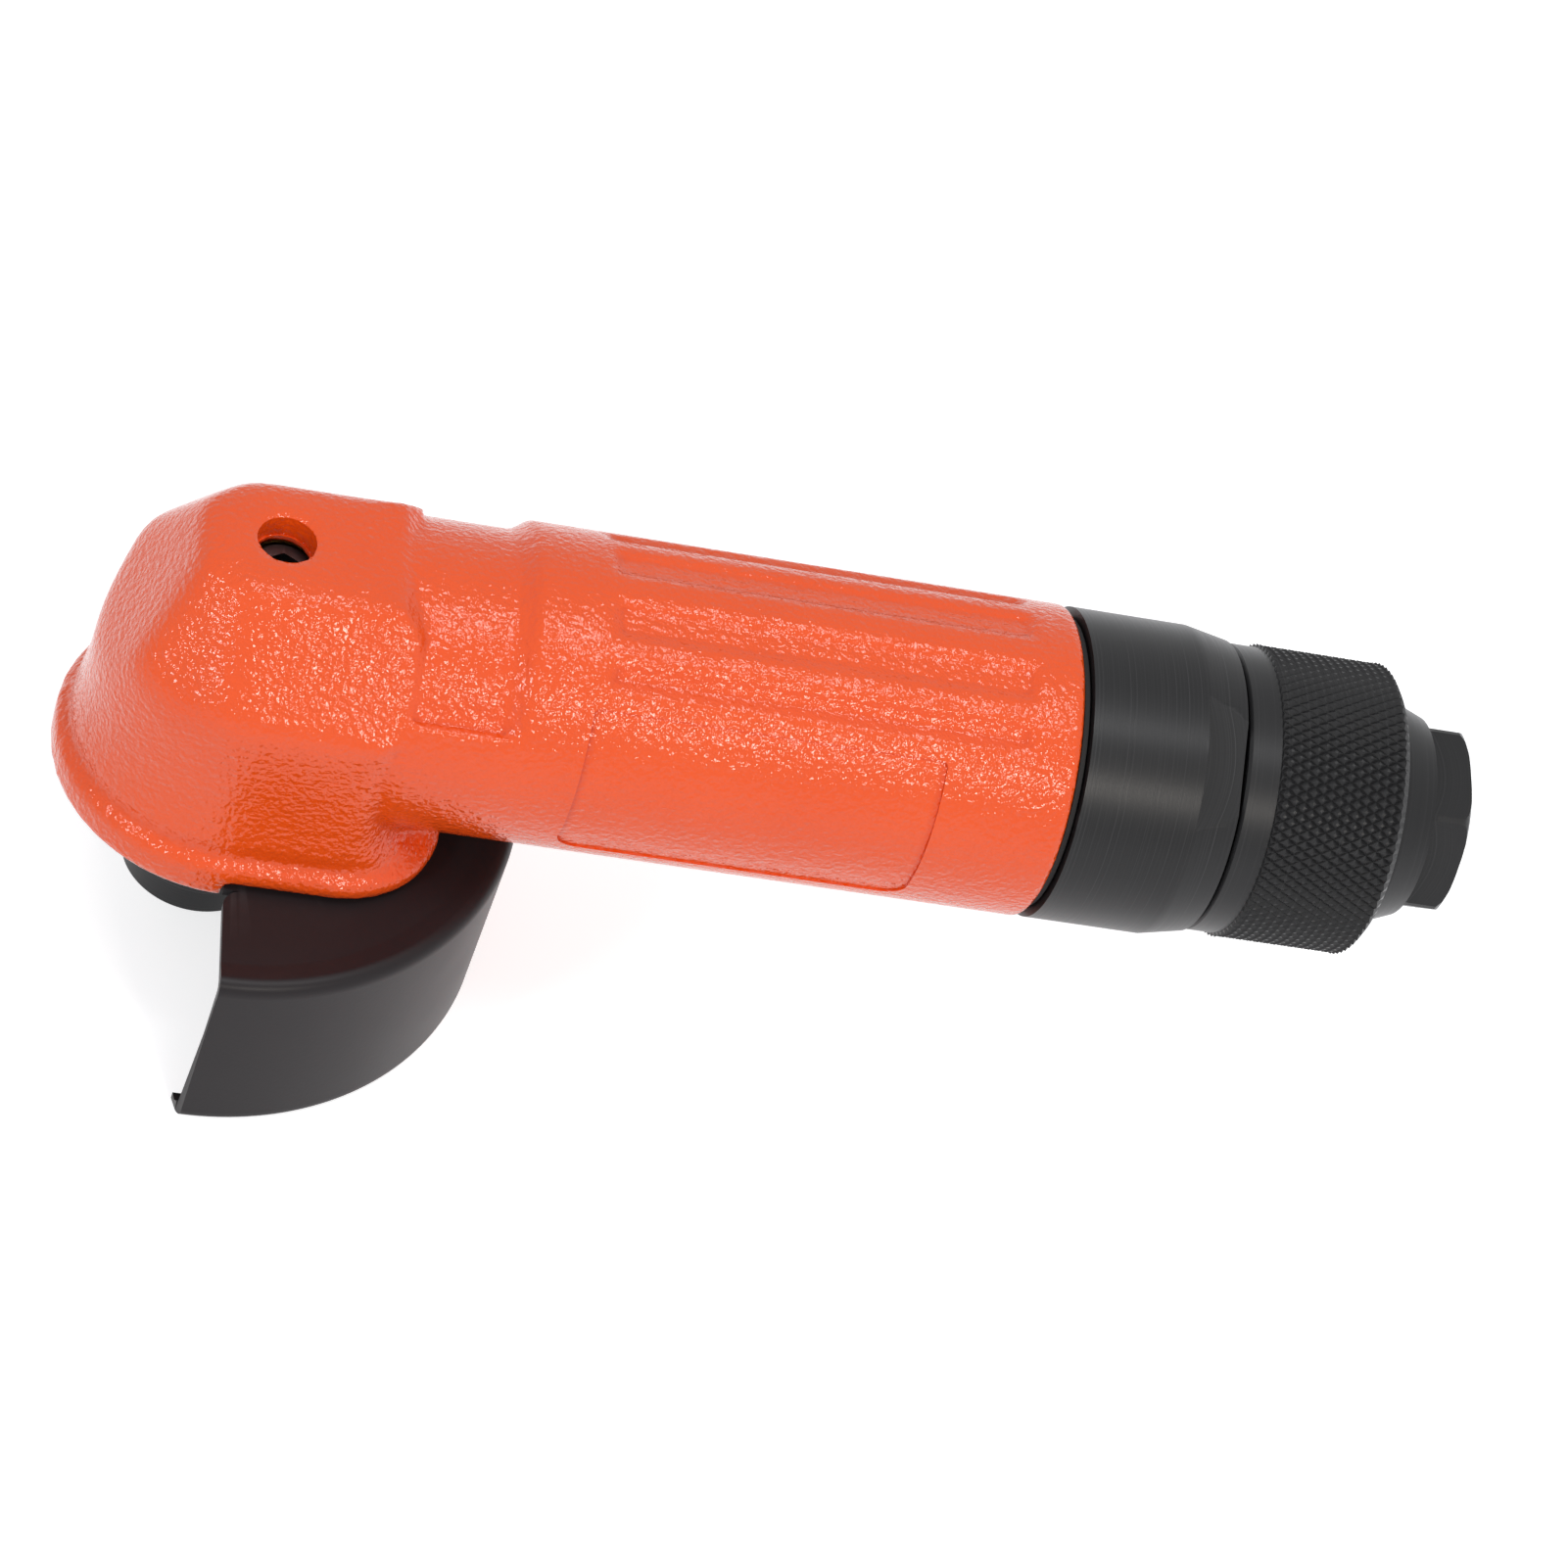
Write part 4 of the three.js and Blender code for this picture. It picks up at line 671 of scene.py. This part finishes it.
def round_the_grip(bm):
    """Pushes the grip's facets out to the circle through its corners, and rounds its ends."""
    step = math.tau / GRIP_SIDES
    for vert in bm.verts:
        x, rise = vert.co.x / MM, vert.co.z - handle_centre.z
        if x < GRIP_START or grip_radius(vert.co) < GRIP_SKIN:
            continue
        offset = math.atan2(vert.co.y, rise) % step - step / 2
        grow = math.cos(offset) / math.cos(step / 2)
        down = math.degrees(math.atan2(abs(vert.co.y), rise))
        radius = grip_radius(vert.co) * grow
        # The CAD panel is filled, because a crisp one is cut after the smoothing
        on_panel = (PANEL_START - 0.8 < x < PANEL_END + 0.8
                    and PANEL_TOP - 1.2 < down < CAD_PANEL_BOTTOM + 1.6)
        if on_panel and GRIP_RADIUS - 2 * PANEL_DEPTH < radius < GRIP_RADIUS:
            grow *= GRIP_RADIUS / radius
        if x > grip_end - RIM_REACH and radius > rim_radius(x) - RIM_MARGIN:
            grow *= rim_radius(x) / radius
        on_saddle = SADDLE_X[0] < x < SADDLE_X[1] and SADDLE_DOWN[0] < down < SADDLE_DOWN[1]
        if vert.co.y > 0 and on_saddle:
            grow *= min(1, far_saddle_radius(x, down) / radius)
        vert.co.y *= grow
        vert.co.z = handle_centre.z + rise * grow


def carve_the_cove(bm):
    """Deepens the cove just above the flange, so that the flange ends in a rounded bead."""
    bm.normal_update()
    for vert in bm.verts:
        x, y, z = vert.co / MM
        out = Vector((vert.normal.x, vert.normal.y, 0))
        offset = abs(z - COVE_Z) / COVE_REACH
        if offset < 1 and math.hypot(x, y) > COVE_SKIN and out.length > 0.3:
            depth = COVE_DEPTH * math.cos(offset * math.pi / 2) ** 2 * (1 - ramp(x, *COVE_X))
            vert.co -= out.normalized() * depth * MM


def round_the_flange(bm):
    """Pushes the facets of the flange's rear corners out to a true round corner."""
    facet = math.radians(FLANGE_FACET)
    centre_x, centre_y = FLANGE_REAR - FLANGE_CORNER, FLANGE_SIDE - FLANGE_CORNER
    for vert in bm.verts:
        x, y, z = vert.co / MM
        along, across = x - centre_x, abs(y) - centre_y
        if min(along, across) <= 0 or math.hypot(along, across) < FLANGE_SKIN:
            continue
        offset = math.atan2(across, along) % facet - facet / 2
        grow = (math.cos(offset) / math.cos(facet / 2) - 1) * (1 - ramp(z, *FLANGE_Z))
        vert.co.x += along * grow * MM
        vert.co.y += math.copysign(across * grow * MM, y)


# %% Copying the casting
casting_bm = bmesh.new()
casting_bm.from_mesh(frame["nodes"]["housing"].data)
bmesh.ops.remove_doubles(casting_bm, verts=casting_bm.verts, dist=0.001 * MM)
casting = mesh_object("cast_housing", casting_bm)
remesh = casting.modifiers.new("even_grid", "REMESH")
remesh.mode = "VOXEL"
remesh.voxel_size = VOXEL_MM * MM
apply_modifiers(casting)
print("Remeshed casting:", len(casting.data.polygons), "faces")

grip_bm = bmesh.new()
grip_bm.from_mesh(casting.data)
round_the_grip(grip_bm)
round_the_flange(grip_bm)
carve_the_cove(grip_bm)
grip_bm.to_mesh(casting.data)
grip_bm.free()

# %% The side panel's cutter
def panel_cutter(side, steps=60, columns=60, top_corner=1.2, bottom_corner=4.5):
    """A closed shell over the panel on one side of the grip, with rounded corners."""
    bm = bmesh.new()
    loops = []
    for step in range(steps + 1):
        share = (1 - math.cos(math.pi * step / steps)) / 2
        angle = PANEL_TOP + (PANEL_BOTTOM - PANEL_TOP) * share
        inset = 0
        for corner, degrees in ((top_corner, angle - PANEL_TOP),
                                (bottom_corner, PANEL_BOTTOM - angle)):
            left = max(0, corner - GRIP_RADIUS * math.radians(degrees))
            inset = max(inset, corner - math.sqrt(corner ** 2 - left ** 2))
        turn = Matrix.Rotation(math.radians(angle) * -side, 3, "X")
        start, length = PANEL_START + inset, PANEL_END - PANEL_START - 2 * inset
        section = [(start + length, GRIP_RADIUS + 3), (start, GRIP_RADIUS + 3)]
        section += [(start + length * column / columns, GRIP_RADIUS - PANEL_DEPTH)
                    for column in range(columns + 1)]
        loops.append([bm.verts.new(handle_centre + turn @ (Vector((x, 0, radius)) * MM))
                      for x, radius in section])
    for first, second in zip(loops, loops[1:]):
        for corner in range(len(first)):
            bm.faces.new((first[corner - 1], first[corner], second[corner], second[corner - 1]))
    bm.faces.new(loops[0])
    bm.faces.new(loops[-1])
    bmesh.ops.recalc_face_normals(bm, faces=bm.faces)
    return bm


# %% Where the casting is smoothed
# All in mm. Rims are measured from the casting's own ends.
HEAD_BORE, HEAD_BORE_TOP, LOCK_BORE, TOP_SKIN = 24.6, 70, 8, 1.2
MOTOR_BORE, MOTOR_BORE_START = 23.2, 26
HEAD_RIM, GRIP_RIM = (1, 4), (-3.2, -1.6)
CROWN_X, CROWN_Z, FLANGE_X = (12, 19), (46, 58), (34, 40)
STEP_X, STEP_Z, STEP_HOLD = (16, 21), (40, 46), 0.85
BORE_LEAST = 0.2


def bore_softness(point):
    """0 on the bores and the machined rim below the head, 1 on the skin of the casting."""
    x, y, z = point / MM
    if z > housing_high.z - TOP_SKIN:
        return 1.0
    if math.hypot(x, y) < (HEAD_BORE if z < HEAD_BORE_TOP else LOCK_BORE):
        return 0.0
    return ramp(z - housing_low.z, *HEAD_RIM)


def crown_softness(point):
    """The upper part of the head, in front of the neck."""
    x, z = point.xz / MM
    return bore_softness(point) * ramp(z, *CROWN_Z) * (1 - ramp(x, *CROWN_X))


def flange_softness(point):
    """The head and its flange. The step to the neck keeps its edge above the flange."""
    x, z = point.xz / MM
    reach = 1 - STEP_HOLD * ramp(x, *STEP_X) * ramp(z, *STEP_Z)
    return reach * (1 - ramp(x, *FLANGE_X)) * max(BORE_LEAST, bore_softness(point))


def grip_softness(point):
    """A light rounding on the flutes, none on the machined rim and the bore."""
    x = point.x / MM
    if grip_radius(point) < MOTOR_BORE and x > MOTOR_BORE_START:
        return 0.0
    return 1 - ramp(x - grip_end, *GRIP_RIM)


def smooth_by(piece, name, softness, rounds):
    """A Smooth modifier whose strength at each point comes from a function."""
    group = piece.vertex_groups.new(name=name)
    for vert in piece.data.vertices:
        weight = softness(vert.co)
        if weight > 0:
            group.add([vert.index], weight, "REPLACE")
    smooth = piece.modifiers.new(name, "SMOOTH")
    smooth.factor = 0.5
    smooth.iterations = rounds
    smooth.vertex_group = name


smooth_by(casting, "crown", crown_softness, 80)
smooth_by(casting, "flange", flange_softness, 7)
smooth_by(casting, "grip", grip_softness, 2)
apply_modifiers(casting)
casting.vertex_groups.clear()

# %% The lock hole and the panels
HOLE_RADIUS, HOLE_SHIFT = 5.1, -0.6
hole_top = housing_high.z
hole_profile = [
    (hole_top - 6, 0), (hole_top - 6, HOLE_RADIUS), (hole_top - 0.5, HOLE_RADIUS),
    (hole_top - 0.2, HOLE_RADIUS + 0.15), (hole_top, HOLE_RADIUS + 0.5), (hole_top + 3, 8),
    (hole_top + 3, 0),
]
lock_hole_bm = spun(hole_profile, Z_AXIS, 64, closed=False)
bmesh.ops.translate(lock_hole_bm, verts=lock_hole_bm.verts, vec=(HOLE_SHIFT * MM, 0, 0))
cut_with(casting, lock_hole_bm)
for side in (-1, 1):
    cut_with(casting, panel_cutter(side))
finish_piece(casting, "frame", orange_paint, "housing", 50)

# %% [markdown]
# ## The rear cap
# The cap is black turned steel. It is a cylinder with a short taper at its rear end, and two
# spanner flats are milled across the taper. The profile repeats the CAD section, with its
# spigot inside the handle, and two blocks cut the flats.

# %% Rear cap
CAP_LENGTH, CAP_RADIUS = 28.7, 27.9
TAPER_LENGTH, TAPER_RADIUS = 7.6, 26.4
SPIGOT_RADIUS, CHAMBER_RADIUS, CHAMBER_END = 21.7, 16, 14.1
STEM_BORE = 15.3
CAP_FLAT, CAP_FLAT_ANGLE = 25.1, 33.5
cap_low, cap_high = in_mm(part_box("rear_cap"))
cap_front = cap_high.x - CAP_LENGTH
taper_front = cap_high.x - TAPER_LENGTH
cap_profile = [
    (cap_low.x, CHAMBER_RADIUS), (cap_low.x, SPIGOT_RADIUS), (cap_front, SPIGOT_RADIUS),
    (cap_front, CAP_RADIUS), (taper_front, CAP_RADIUS), (cap_high.x, TAPER_RADIUS),
    (cap_high.x, STEM_BORE), (cap_front + CHAMBER_END, STEM_BORE),
    (cap_front + CHAMBER_END, CHAMBER_RADIUS),
]
rear_cap = mesh_object("rear_cap_turned", spun(cap_profile, X_AXIS))
for half in (0, 180):
    mill_flat(rear_cap, (taper_front, -30, CAP_FLAT), (cap_high.x + 2, 30, 32),
              math.radians(CAP_FLAT_ANGLE + half))
soften_piece(rear_cap, 0.004, 0.22, 30, dissolve=True)
finish_piece(rear_cap, "frame", black_along_x, "rear_cap", 25)

# %% [markdown]
# ## The throttle ring
# The ring turns on the inlet stem to open the air. Its front is a smooth collar, and the rest
# carries a diamond knurl that a roller has pressed in. The knurl starts as a spun band with a
# grid of points. Every second point is pushed in, and each square is split along its two low
# points. What stays high is a field of small pyramids, as on the real ring.

# %% Throttle ring
KNURL_AROUND, KNURL_ROWS = 84, 14
KNURL_RADIUS, KNURL_DEPTH, PEAK_FLAT = 26.6, 0.75, 0.4
COLLAR_LENGTH, COLLAR_RADIUS, COLLAR_EDGE = 6, 25.9, 0.5
RING_BORE, REAR_CHAMFER, REAR_RADIUS = 15.4, 1.2, 24.9
ring_low, ring_high = in_mm(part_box("throttle_ring"))
knurl_front, knurl_rear = ring_low.x + COLLAR_LENGTH, ring_high.x - REAR_CHAMFER
knurl_length = knurl_rear - knurl_front


def on_knurl(vert, margin):
    """Whether a point of the ring lies on the knurled band. The margin is in mm."""
    return (knurl_front + margin < vert.co.x / MM < knurl_rear - margin
            and grip_radius(vert.co) >= KNURL_RADIUS - 0.2)


def is_low(vert):
    """Whether the knurling roller pushes this point in, which holds for every second one."""
    row = round((vert.co.x / MM - knurl_front) / knurl_length * KNURL_ROWS)
    angle = math.atan2(vert.co.y, vert.co.z - handle_centre.z) % math.tau
    return (row + round(angle / math.tau * 2 * KNURL_AROUND)) % 2 == 1


ring_profile = [(ring_low.x, RING_BORE), (ring_low.x, COLLAR_RADIUS - COLLAR_EDGE),
                (ring_low.x + COLLAR_EDGE, COLLAR_RADIUS), (knurl_front - 0.15, COLLAR_RADIUS)]
ring_profile += [(knurl_front + knurl_length * row / KNURL_ROWS, KNURL_RADIUS)
                 for row in range(KNURL_ROWS + 1)]
ring_profile += [(ring_high.x, REAR_RADIUS), (ring_high.x, RING_BORE)]
ring_bm = spun(ring_profile, X_AXIS, steps=2 * KNURL_AROUND)
low_points = {vert for vert in ring_bm.verts if on_knurl(vert, -0.01) and is_low(vert)}
for vert in low_points:
    shrink = 1 - KNURL_DEPTH / KNURL_RADIUS
    vert.co.y *= shrink
    vert.co.z = handle_centre.z + (vert.co.z - handle_centre.z) * shrink
for face in [face for face in ring_bm.faces if len(face.verts) == 4]:
    low = [vert for vert in face.verts if vert in low_points]
    if len(low) == 2:
        bmesh.utils.face_split(face, low[0], low[1])
peaks = [vert for vert in ring_bm.verts if vert not in low_points and on_knurl(vert, 0.5)]
bmesh.ops.bevel(ring_bm, geom=peaks, offset=PEAK_FLAT * MM, affect="VERTICES", segments=1,
                profile=0.5, clamp_overlap=True, material=-1)
throttle_ring = mesh_object("throttle_ring_knurled", ring_bm)
finish_piece(throttle_ring, "throttle_grip", knurl_black, "throttle_ring", 18)

# %% [markdown]
# ## The inlet body
# Behind the ring the inlet body ends in a cone and a hexagon for the spanner, with the thread
# for the air fitting inside. The stem inside the ring is plain. The hexagon's corners are
# turned off at a shallow angle, which leaves the curved edge that the photograph shows.

# %% Inlet body
STEM_RADIUS, SEAL_GROOVE, SEAL_ROOM = 15, 13.5, 0.3
CONE_LENGTH, CONE_RADIUS, CONE_RIM = 14.8, 20.6, 1.2
HEX_LENGTH, HEX_RADIUS, HEX_FLAT, HEX_TURN = 7.4, 18.2, 16, 40.5
THREAD_RADIUS, THREAD_PITCH, THREAD_DEPTH = 8.5, 1.4, 0.75
THREAD_LENGTH, THREAD_LEAD, THREAD_BORE = 14.8, 0.9, 16
DEEP_BORE, VALVE_BORE, VALVE_BORE_LENGTH = 8, 4.6, 5
body_low, body_high = in_mm(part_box("inlet_body"))
end = body_high.x
cone_front, hex_front, first_crest = end - CONE_LENGTH, end - HEX_LENGTH, end - THREAD_LEAD
stem_profile = [(body_low.x, VALVE_BORE), (body_low.x, STEM_RADIUS)]
for seal in ("ring_seal_front", "ring_seal_rear"):
    seal_low, seal_high = in_mm(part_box(seal))
    groove_start, groove_end = seal_low.x - SEAL_ROOM, seal_high.x + SEAL_ROOM
    stem_profile += [(groove_start, STEM_RADIUS), (groove_start, SEAL_GROOVE),
                     (groove_end, SEAL_GROOVE), (groove_end, STEM_RADIUS)]
stem_profile += [(cone_front, STEM_RADIUS), (cone_front, CONE_RADIUS),
                 (cone_front + CONE_RIM, CONE_RADIUS), (hex_front, HEX_RADIUS)]
# The hexagon's end is turned off in a curve, and a lead leads into the thread
stem_profile += [(end - 1.6, HEX_RADIUS), (end - 0.7, 17.6), (end - 0.15, 16.7), (end, 16.1),
                 (end, THREAD_RADIUS + THREAD_LEAD), (first_crest, THREAD_RADIUS)]
for number in range(int((THREAD_LENGTH - THREAD_LEAD) / THREAD_PITCH)):
    crest = first_crest - number * THREAD_PITCH
    root = THREAD_RADIUS + THREAD_DEPTH
    stem_profile += [(crest - 0.15, THREAD_RADIUS), (crest - 0.62, root), (crest - 0.78, root),
                     (crest - 1.25, THREAD_RADIUS)]
thread_end, valve_end = end - THREAD_BORE, body_low.x + VALVE_BORE_LENGTH
stem_profile += [(thread_end, THREAD_RADIUS), (thread_end, DEEP_BORE), (valve_end, DEEP_BORE),
                 (valve_end, VALVE_BORE)]
inlet_body = mesh_object("inlet_body_turned", spun(stem_profile, X_AXIS))

# %% Milling the hexagon
for side in range(6):
    mill_flat(inlet_body, (hex_front, -14, HEX_FLAT), (end + 2, 14, 24),
              math.radians(HEX_TURN + 30 + 60 * side))
finish_piece(inlet_body, "frame", black_along_x, "inlet_body", 25)

# %% [markdown]
# ## The guard
# The guard is pressed from sheet: a flat plate under the head, a bend with a slight bead, a
# skirt and a narrow lip turned in at the bottom. Its section is spun through half a turn, which
# is why the wheel is free in front. The two flat ends get caps, and all thin edges are rounded.

# %% Guard
PLATE_TOP, PLATE_BORE, SHEET = 30, 24.3, 1.6
WALL_RADIUS, LIP, LIP_HOOK = 52.77, 3.9, 1.6
GUARD_FRONT = 0.3
TRIM_X, TRIM_Y, TRIM_INSIDE, TRIM_RADIUS = 3.8, 34.5, 31, 3.5
low = in_mm(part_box("guard"))[0].z
under, inner = PLATE_TOP - SHEET, WALL_RADIUS - SHEET
guard_profile = [(PLATE_TOP, PLATE_BORE), (PLATE_TOP, WALL_RADIUS - 6)]
# The bead on the upper bend, the wall, and the lower bend, from the plate to the lip
guard_profile += [(PLATE_TOP + rise, WALL_RADIUS - inset) for rise, inset in (
    (0, 5.2), (0.5, 2.6), (0.42, 1.9), (0.16, 1.2), (-0.3, 0.62), (-0.95, 0.2), (-1.7, 0))]
guard_profile += [(low + rise, WALL_RADIUS - inset) for rise, inset in (
    (1.2, 0), (0.7, 0.1), (0.28, 0.38), (0.05, 0.8), (0, 1.3), (0, LIP), (SHEET, LIP))]
guard_profile += [
    (low + SHEET, inner - 0.7), (low + SHEET + 0.7, inner), (under - 1.3, inner),
    (under - 0.4, inner - 0.4), (under, inner - 1.3), (under, PLATE_BORE),
]
guard_bm = bmesh.new()
section = [guard_bm.verts.new(Vector((GUARD_FRONT, -radius, along)) * MM)
           for along, radius in with_edge_rings(guard_profile, True)]
section_face = guard_bm.faces.new(section)
bmesh.ops.spin(guard_bm, geom=[section_face, *section, *section_face.edges],
               cent=(GUARD_FRONT * MM, 0, 0), axis=(0, 0, 1), angle=math.pi, steps=96)
bmesh.ops.remove_doubles(guard_bm, verts=guard_bm.verts, dist=0.001 * MM)
for vert in guard_bm.verts:  # the lip stands out a little at both of its ends
    inward = max(0, WALL_RADIUS - abs(vert.co.y) / MM) / LIP
    at_end = abs(vert.co.x - GUARD_FRONT * MM) < 0.01 * MM
    if at_end and vert.co.z < (low + SHEET + 0.8) * MM:
        vert.co.x -= LIP_HOOK * math.sin(min(1, inward) * math.pi / 2) * MM
bmesh.ops.recalc_face_normals(guard_bm, faces=guard_bm.faces)
print("Guard faces after the spin:", len(guard_bm.faces))

# %% Trimming the guard
guard_piece = mesh_object("guard_pressed", guard_bm)
for side in (-1, 1):
    right_y, left_y = sorted((TRIM_INSIDE * side, TRIM_Y * side))
    corner = mesh_object("corner", box_mesh((-1, right_y, 20), (TRIM_X, left_y, 34)))
    cut_with(corner, upright_rod(TRIM_RADIUS, 18, 36, 40, TRIM_X, TRIM_Y * side))
    trim_bm = bmesh.new()
    trim_bm.from_mesh(corner.data)
    bpy.data.objects.remove(corner)
    cut_with(guard_piece, trim_bm)
soften_piece(guard_piece, 0.003, 0.3, 40)
finish_piece(guard_piece, "frame", guard_paint, "guard", 32)

# %% [markdown]
# ## Under the head
# The spindle comes out below the head through its bearing retainer. It carries the backing
# flange and the round flange nut, which clamp the wheel. The nut has four holes for a pin
# spanner. All are spun, and the thread's ridges are part of the spindle's profile.

# %% Bearing retainer
SEAL_BORE, RETAINER_RADIUS, RETAINER_SPIGOT, BEARING_BORE = 14, 27, 23.7, 17.7
low, high = (corner.z for corner in in_mm(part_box("bearing_retainer")))
retainer_profile = [
    (low, SEAL_BORE), (low, RETAINER_RADIUS - 0.8), (low + 0.8, RETAINER_RADIUS),
    (low + 2.4, RETAINER_RADIUS), (low + 2.4, RETAINER_SPIGOT), (high, RETAINER_SPIGOT),
    (high, BEARING_BORE), (low + 1.8, BEARING_BORE), (low + 1.8, SEAL_BORE),
]
retainer_bm = spun(retainer_profile, Z_AXIS)
soften_edges(retainer_bm, 0.2, 35)
retainer = mesh_object("bearing_retainer_turned", retainer_bm)
finish_piece(retainer, "frame", black_along_z, "bearing_retainer")

# %% Backing flange
FLANGE_BORE, RELIEF_RADIUS, FLANGE_RADIUS, FLANGE_HUB = 7.8, 13.9, 15.6, 12
flange_low, flange_high = (corner.z for corner in in_mm(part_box("backing_flange")))
flange_profile = [
    (flange_low + 0.6, FLANGE_BORE), (flange_low + 0.6, RELIEF_RADIUS),
    (flange_low, RELIEF_RADIUS), (flange_low, FLANGE_RADIUS), (flange_low + 3, FLANGE_RADIUS),
    (flange_high, FLANGE_HUB), (flange_high, FLANGE_BORE),
]
flange_bm = spun(flange_profile, Z_AXIS)
soften_edges(flange_bm, 0.2, 30)
backing_flange = mesh_object("backing_flange_turned", flange_bm)
finish_piece(backing_flange, "spindle_group", black_along_z, "backing_flange")

# %% Flange nut
NUT_BORE, NUT_RADIUS, PIN_CIRCLE, PIN_RADIUS = 5.3, 13.6, 9.5, 2
low, high = (corner.z for corner in in_mm(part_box("flange_nut")))
nut_profile = [(low, NUT_BORE), (low, NUT_RADIUS - 0.8), (low + 0.8, NUT_RADIUS),
               (high, NUT_RADIUS), (high, NUT_BORE)]
flange_nut = mesh_object("flange_nut_turned", spun(nut_profile, Z_AXIS))
for number in range(4):
    angle = math.radians(90 * number)
    cut_with(flange_nut, upright_rod(PIN_RADIUS, low - 2, low + 3, 28,
                                     PIN_CIRCLE * math.cos(angle), PIN_CIRCLE * math.sin(angle)))
finish_piece(flange_nut, "spindle_group", black_along_z, "flange_nut", 28)

# %% Spindle
SPINDLE_THREAD, SPINDLE_ROOT, SPINDLE_PITCH = 5.0, 4.25, 1.5
BEARING_SEAT, SPINDLE_COLLAR, BUSH_SEAT, SOCKET_RADIUS = 7.5, 9.6, 5.5, 2.887
COLLAR_TOP, BEARING_TOP, SOCKET_DEPTH = 24.1, 48.6, 6
thread_top, collar_low = flange_low + 0.3, flange_high + 0.3
high = in_mm(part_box("spindle"))[1].z
spindle_profile = [(0, 0), (0, 4.2), (0.7, SPINDLE_THREAD)]
for number in range(int((thread_top - 1.2) / SPINDLE_PITCH)):
    crest = 0.8 + number * SPINDLE_PITCH
    spindle_profile += [(crest + 0.2, SPINDLE_THREAD), (crest + 0.68, SPINDLE_ROOT),
                        (crest + 0.82, SPINDLE_ROOT), (crest + 1.3, SPINDLE_THREAD)]
spindle_profile += [
    (thread_top, SPINDLE_THREAD), (thread_top, BEARING_SEAT), (collar_low, BEARING_SEAT),
    (collar_low, SPINDLE_COLLAR), (COLLAR_TOP, SPINDLE_COLLAR), (COLLAR_TOP, BEARING_SEAT),
    (BEARING_TOP, BEARING_SEAT), (BEARING_TOP, BUSH_SEAT), (high - 0.8, BUSH_SEAT),
    (high, BUSH_SEAT - 0.8), (high, 0),
]
spindle = mesh_object("spindle_turned", spun(spindle_profile, Z_AXIS, 96, closed=False))
cut_with(spindle, upright_rod(SOCKET_RADIUS, high - SOCKET_DEPTH, high + 4, 6))
hardened_steel = metal_pairs["hardened_steel"][1]
finish_piece(spindle, "spindle_group", hardened_steel, "spindle", 28)

# %% Guard screws
SCREW_HEAD, SCREW_SHANK, KEY_RADIUS, KEY_DEPTH = 4, 2.2, 1.74, 1.6
for number in (1, 2):
    screw_low, screw_high = in_mm(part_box(f"guard_screw_{number}"))
    low, high = screw_low.z, screw_high.z
    screw_profile = [
        (low, 0), (low, SCREW_HEAD - 0.7), (low + 0.3, SCREW_HEAD - 0.25),
        (low + 0.8, SCREW_HEAD), (low + 2.8, SCREW_HEAD), (low + 2.8, SCREW_SHANK),
        (high, SCREW_SHANK), (high, 0),
    ]
    screw_bm = spun(screw_profile, Z_AXIS, 48, closed=False)
    screw = mesh_object(f"guard_screw_turned_{number}", screw_bm)
    cut_with(screw, upright_rod(KEY_RADIUS, low - KEY_DEPTH, low + KEY_DEPTH, 6))
    place = (screw_low + screw_high).xy.to_3d() / 2 * MM
    screw.data.transform(Matrix.Translation(place))
    finish_piece(screw, "frame", black_along_z, f"guard_screw_{number}", 28)

# %% [markdown]
# ## The seal and the inner pieces
# A thin dark seal shows between the housing and the cap. The rest of the mechanism is inside.
# Its CAD solids have the right shape already, so they stay and only get their finishes.

# %% Cap gasket
GASKET_BORE, GASKET_RADIUS = 22.4, 26.3
low, high = (corner.x for corner in in_mm(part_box("cap_gasket")))
gasket_bm = spun([(low, GASKET_BORE), (low, GASKET_RADIUS), (high, GASKET_RADIUS),
                  (high, GASKET_BORE)], X_AXIS)
soften_edges(gasket_bm, 0.2, 40)
gasket = mesh_object("cap_gasket_ring", gasket_bm)
finish_piece(gasket, "frame", rubber, "cap_gasket")

# %% Finishes of the inner pieces
upright = {"spindle_bearing_outer_ring", "spindle_bearing_inner_ring", "spindle_bearing_cage",
           "bevel_gear", "gear_key", "spindle_bush"}
slot_finishes = {
    "black_oxide": (black_along_x, black_along_z), "guard_black": (guard_paint, guard_paint),
    "orange_paint": (orange_paint, orange_paint), "ground_steel": metal_pairs["ground_steel"],
    "dark_steel": metal_pairs["hardened_steel"], "brass": metal_pairs["machined_brass"],
    "black_rubber": (rubber, rubber), "vane_resin": (resin, resin),
}
subparts = frame["record"]["subparts"]
for subpart in subparts:
    node = frame["nodes"][subpart["node"]]
    along_x, along_z = slot_finishes[subpart["material_slot"]]
    finish = along_z if subpart["node"] in upright else along_x
    if not node.material_slots:
        node.data.materials.append(finish)
    for slot in node.material_slots:
        slot.material = finish
print("CAD nodes with a finish:", len(subparts))
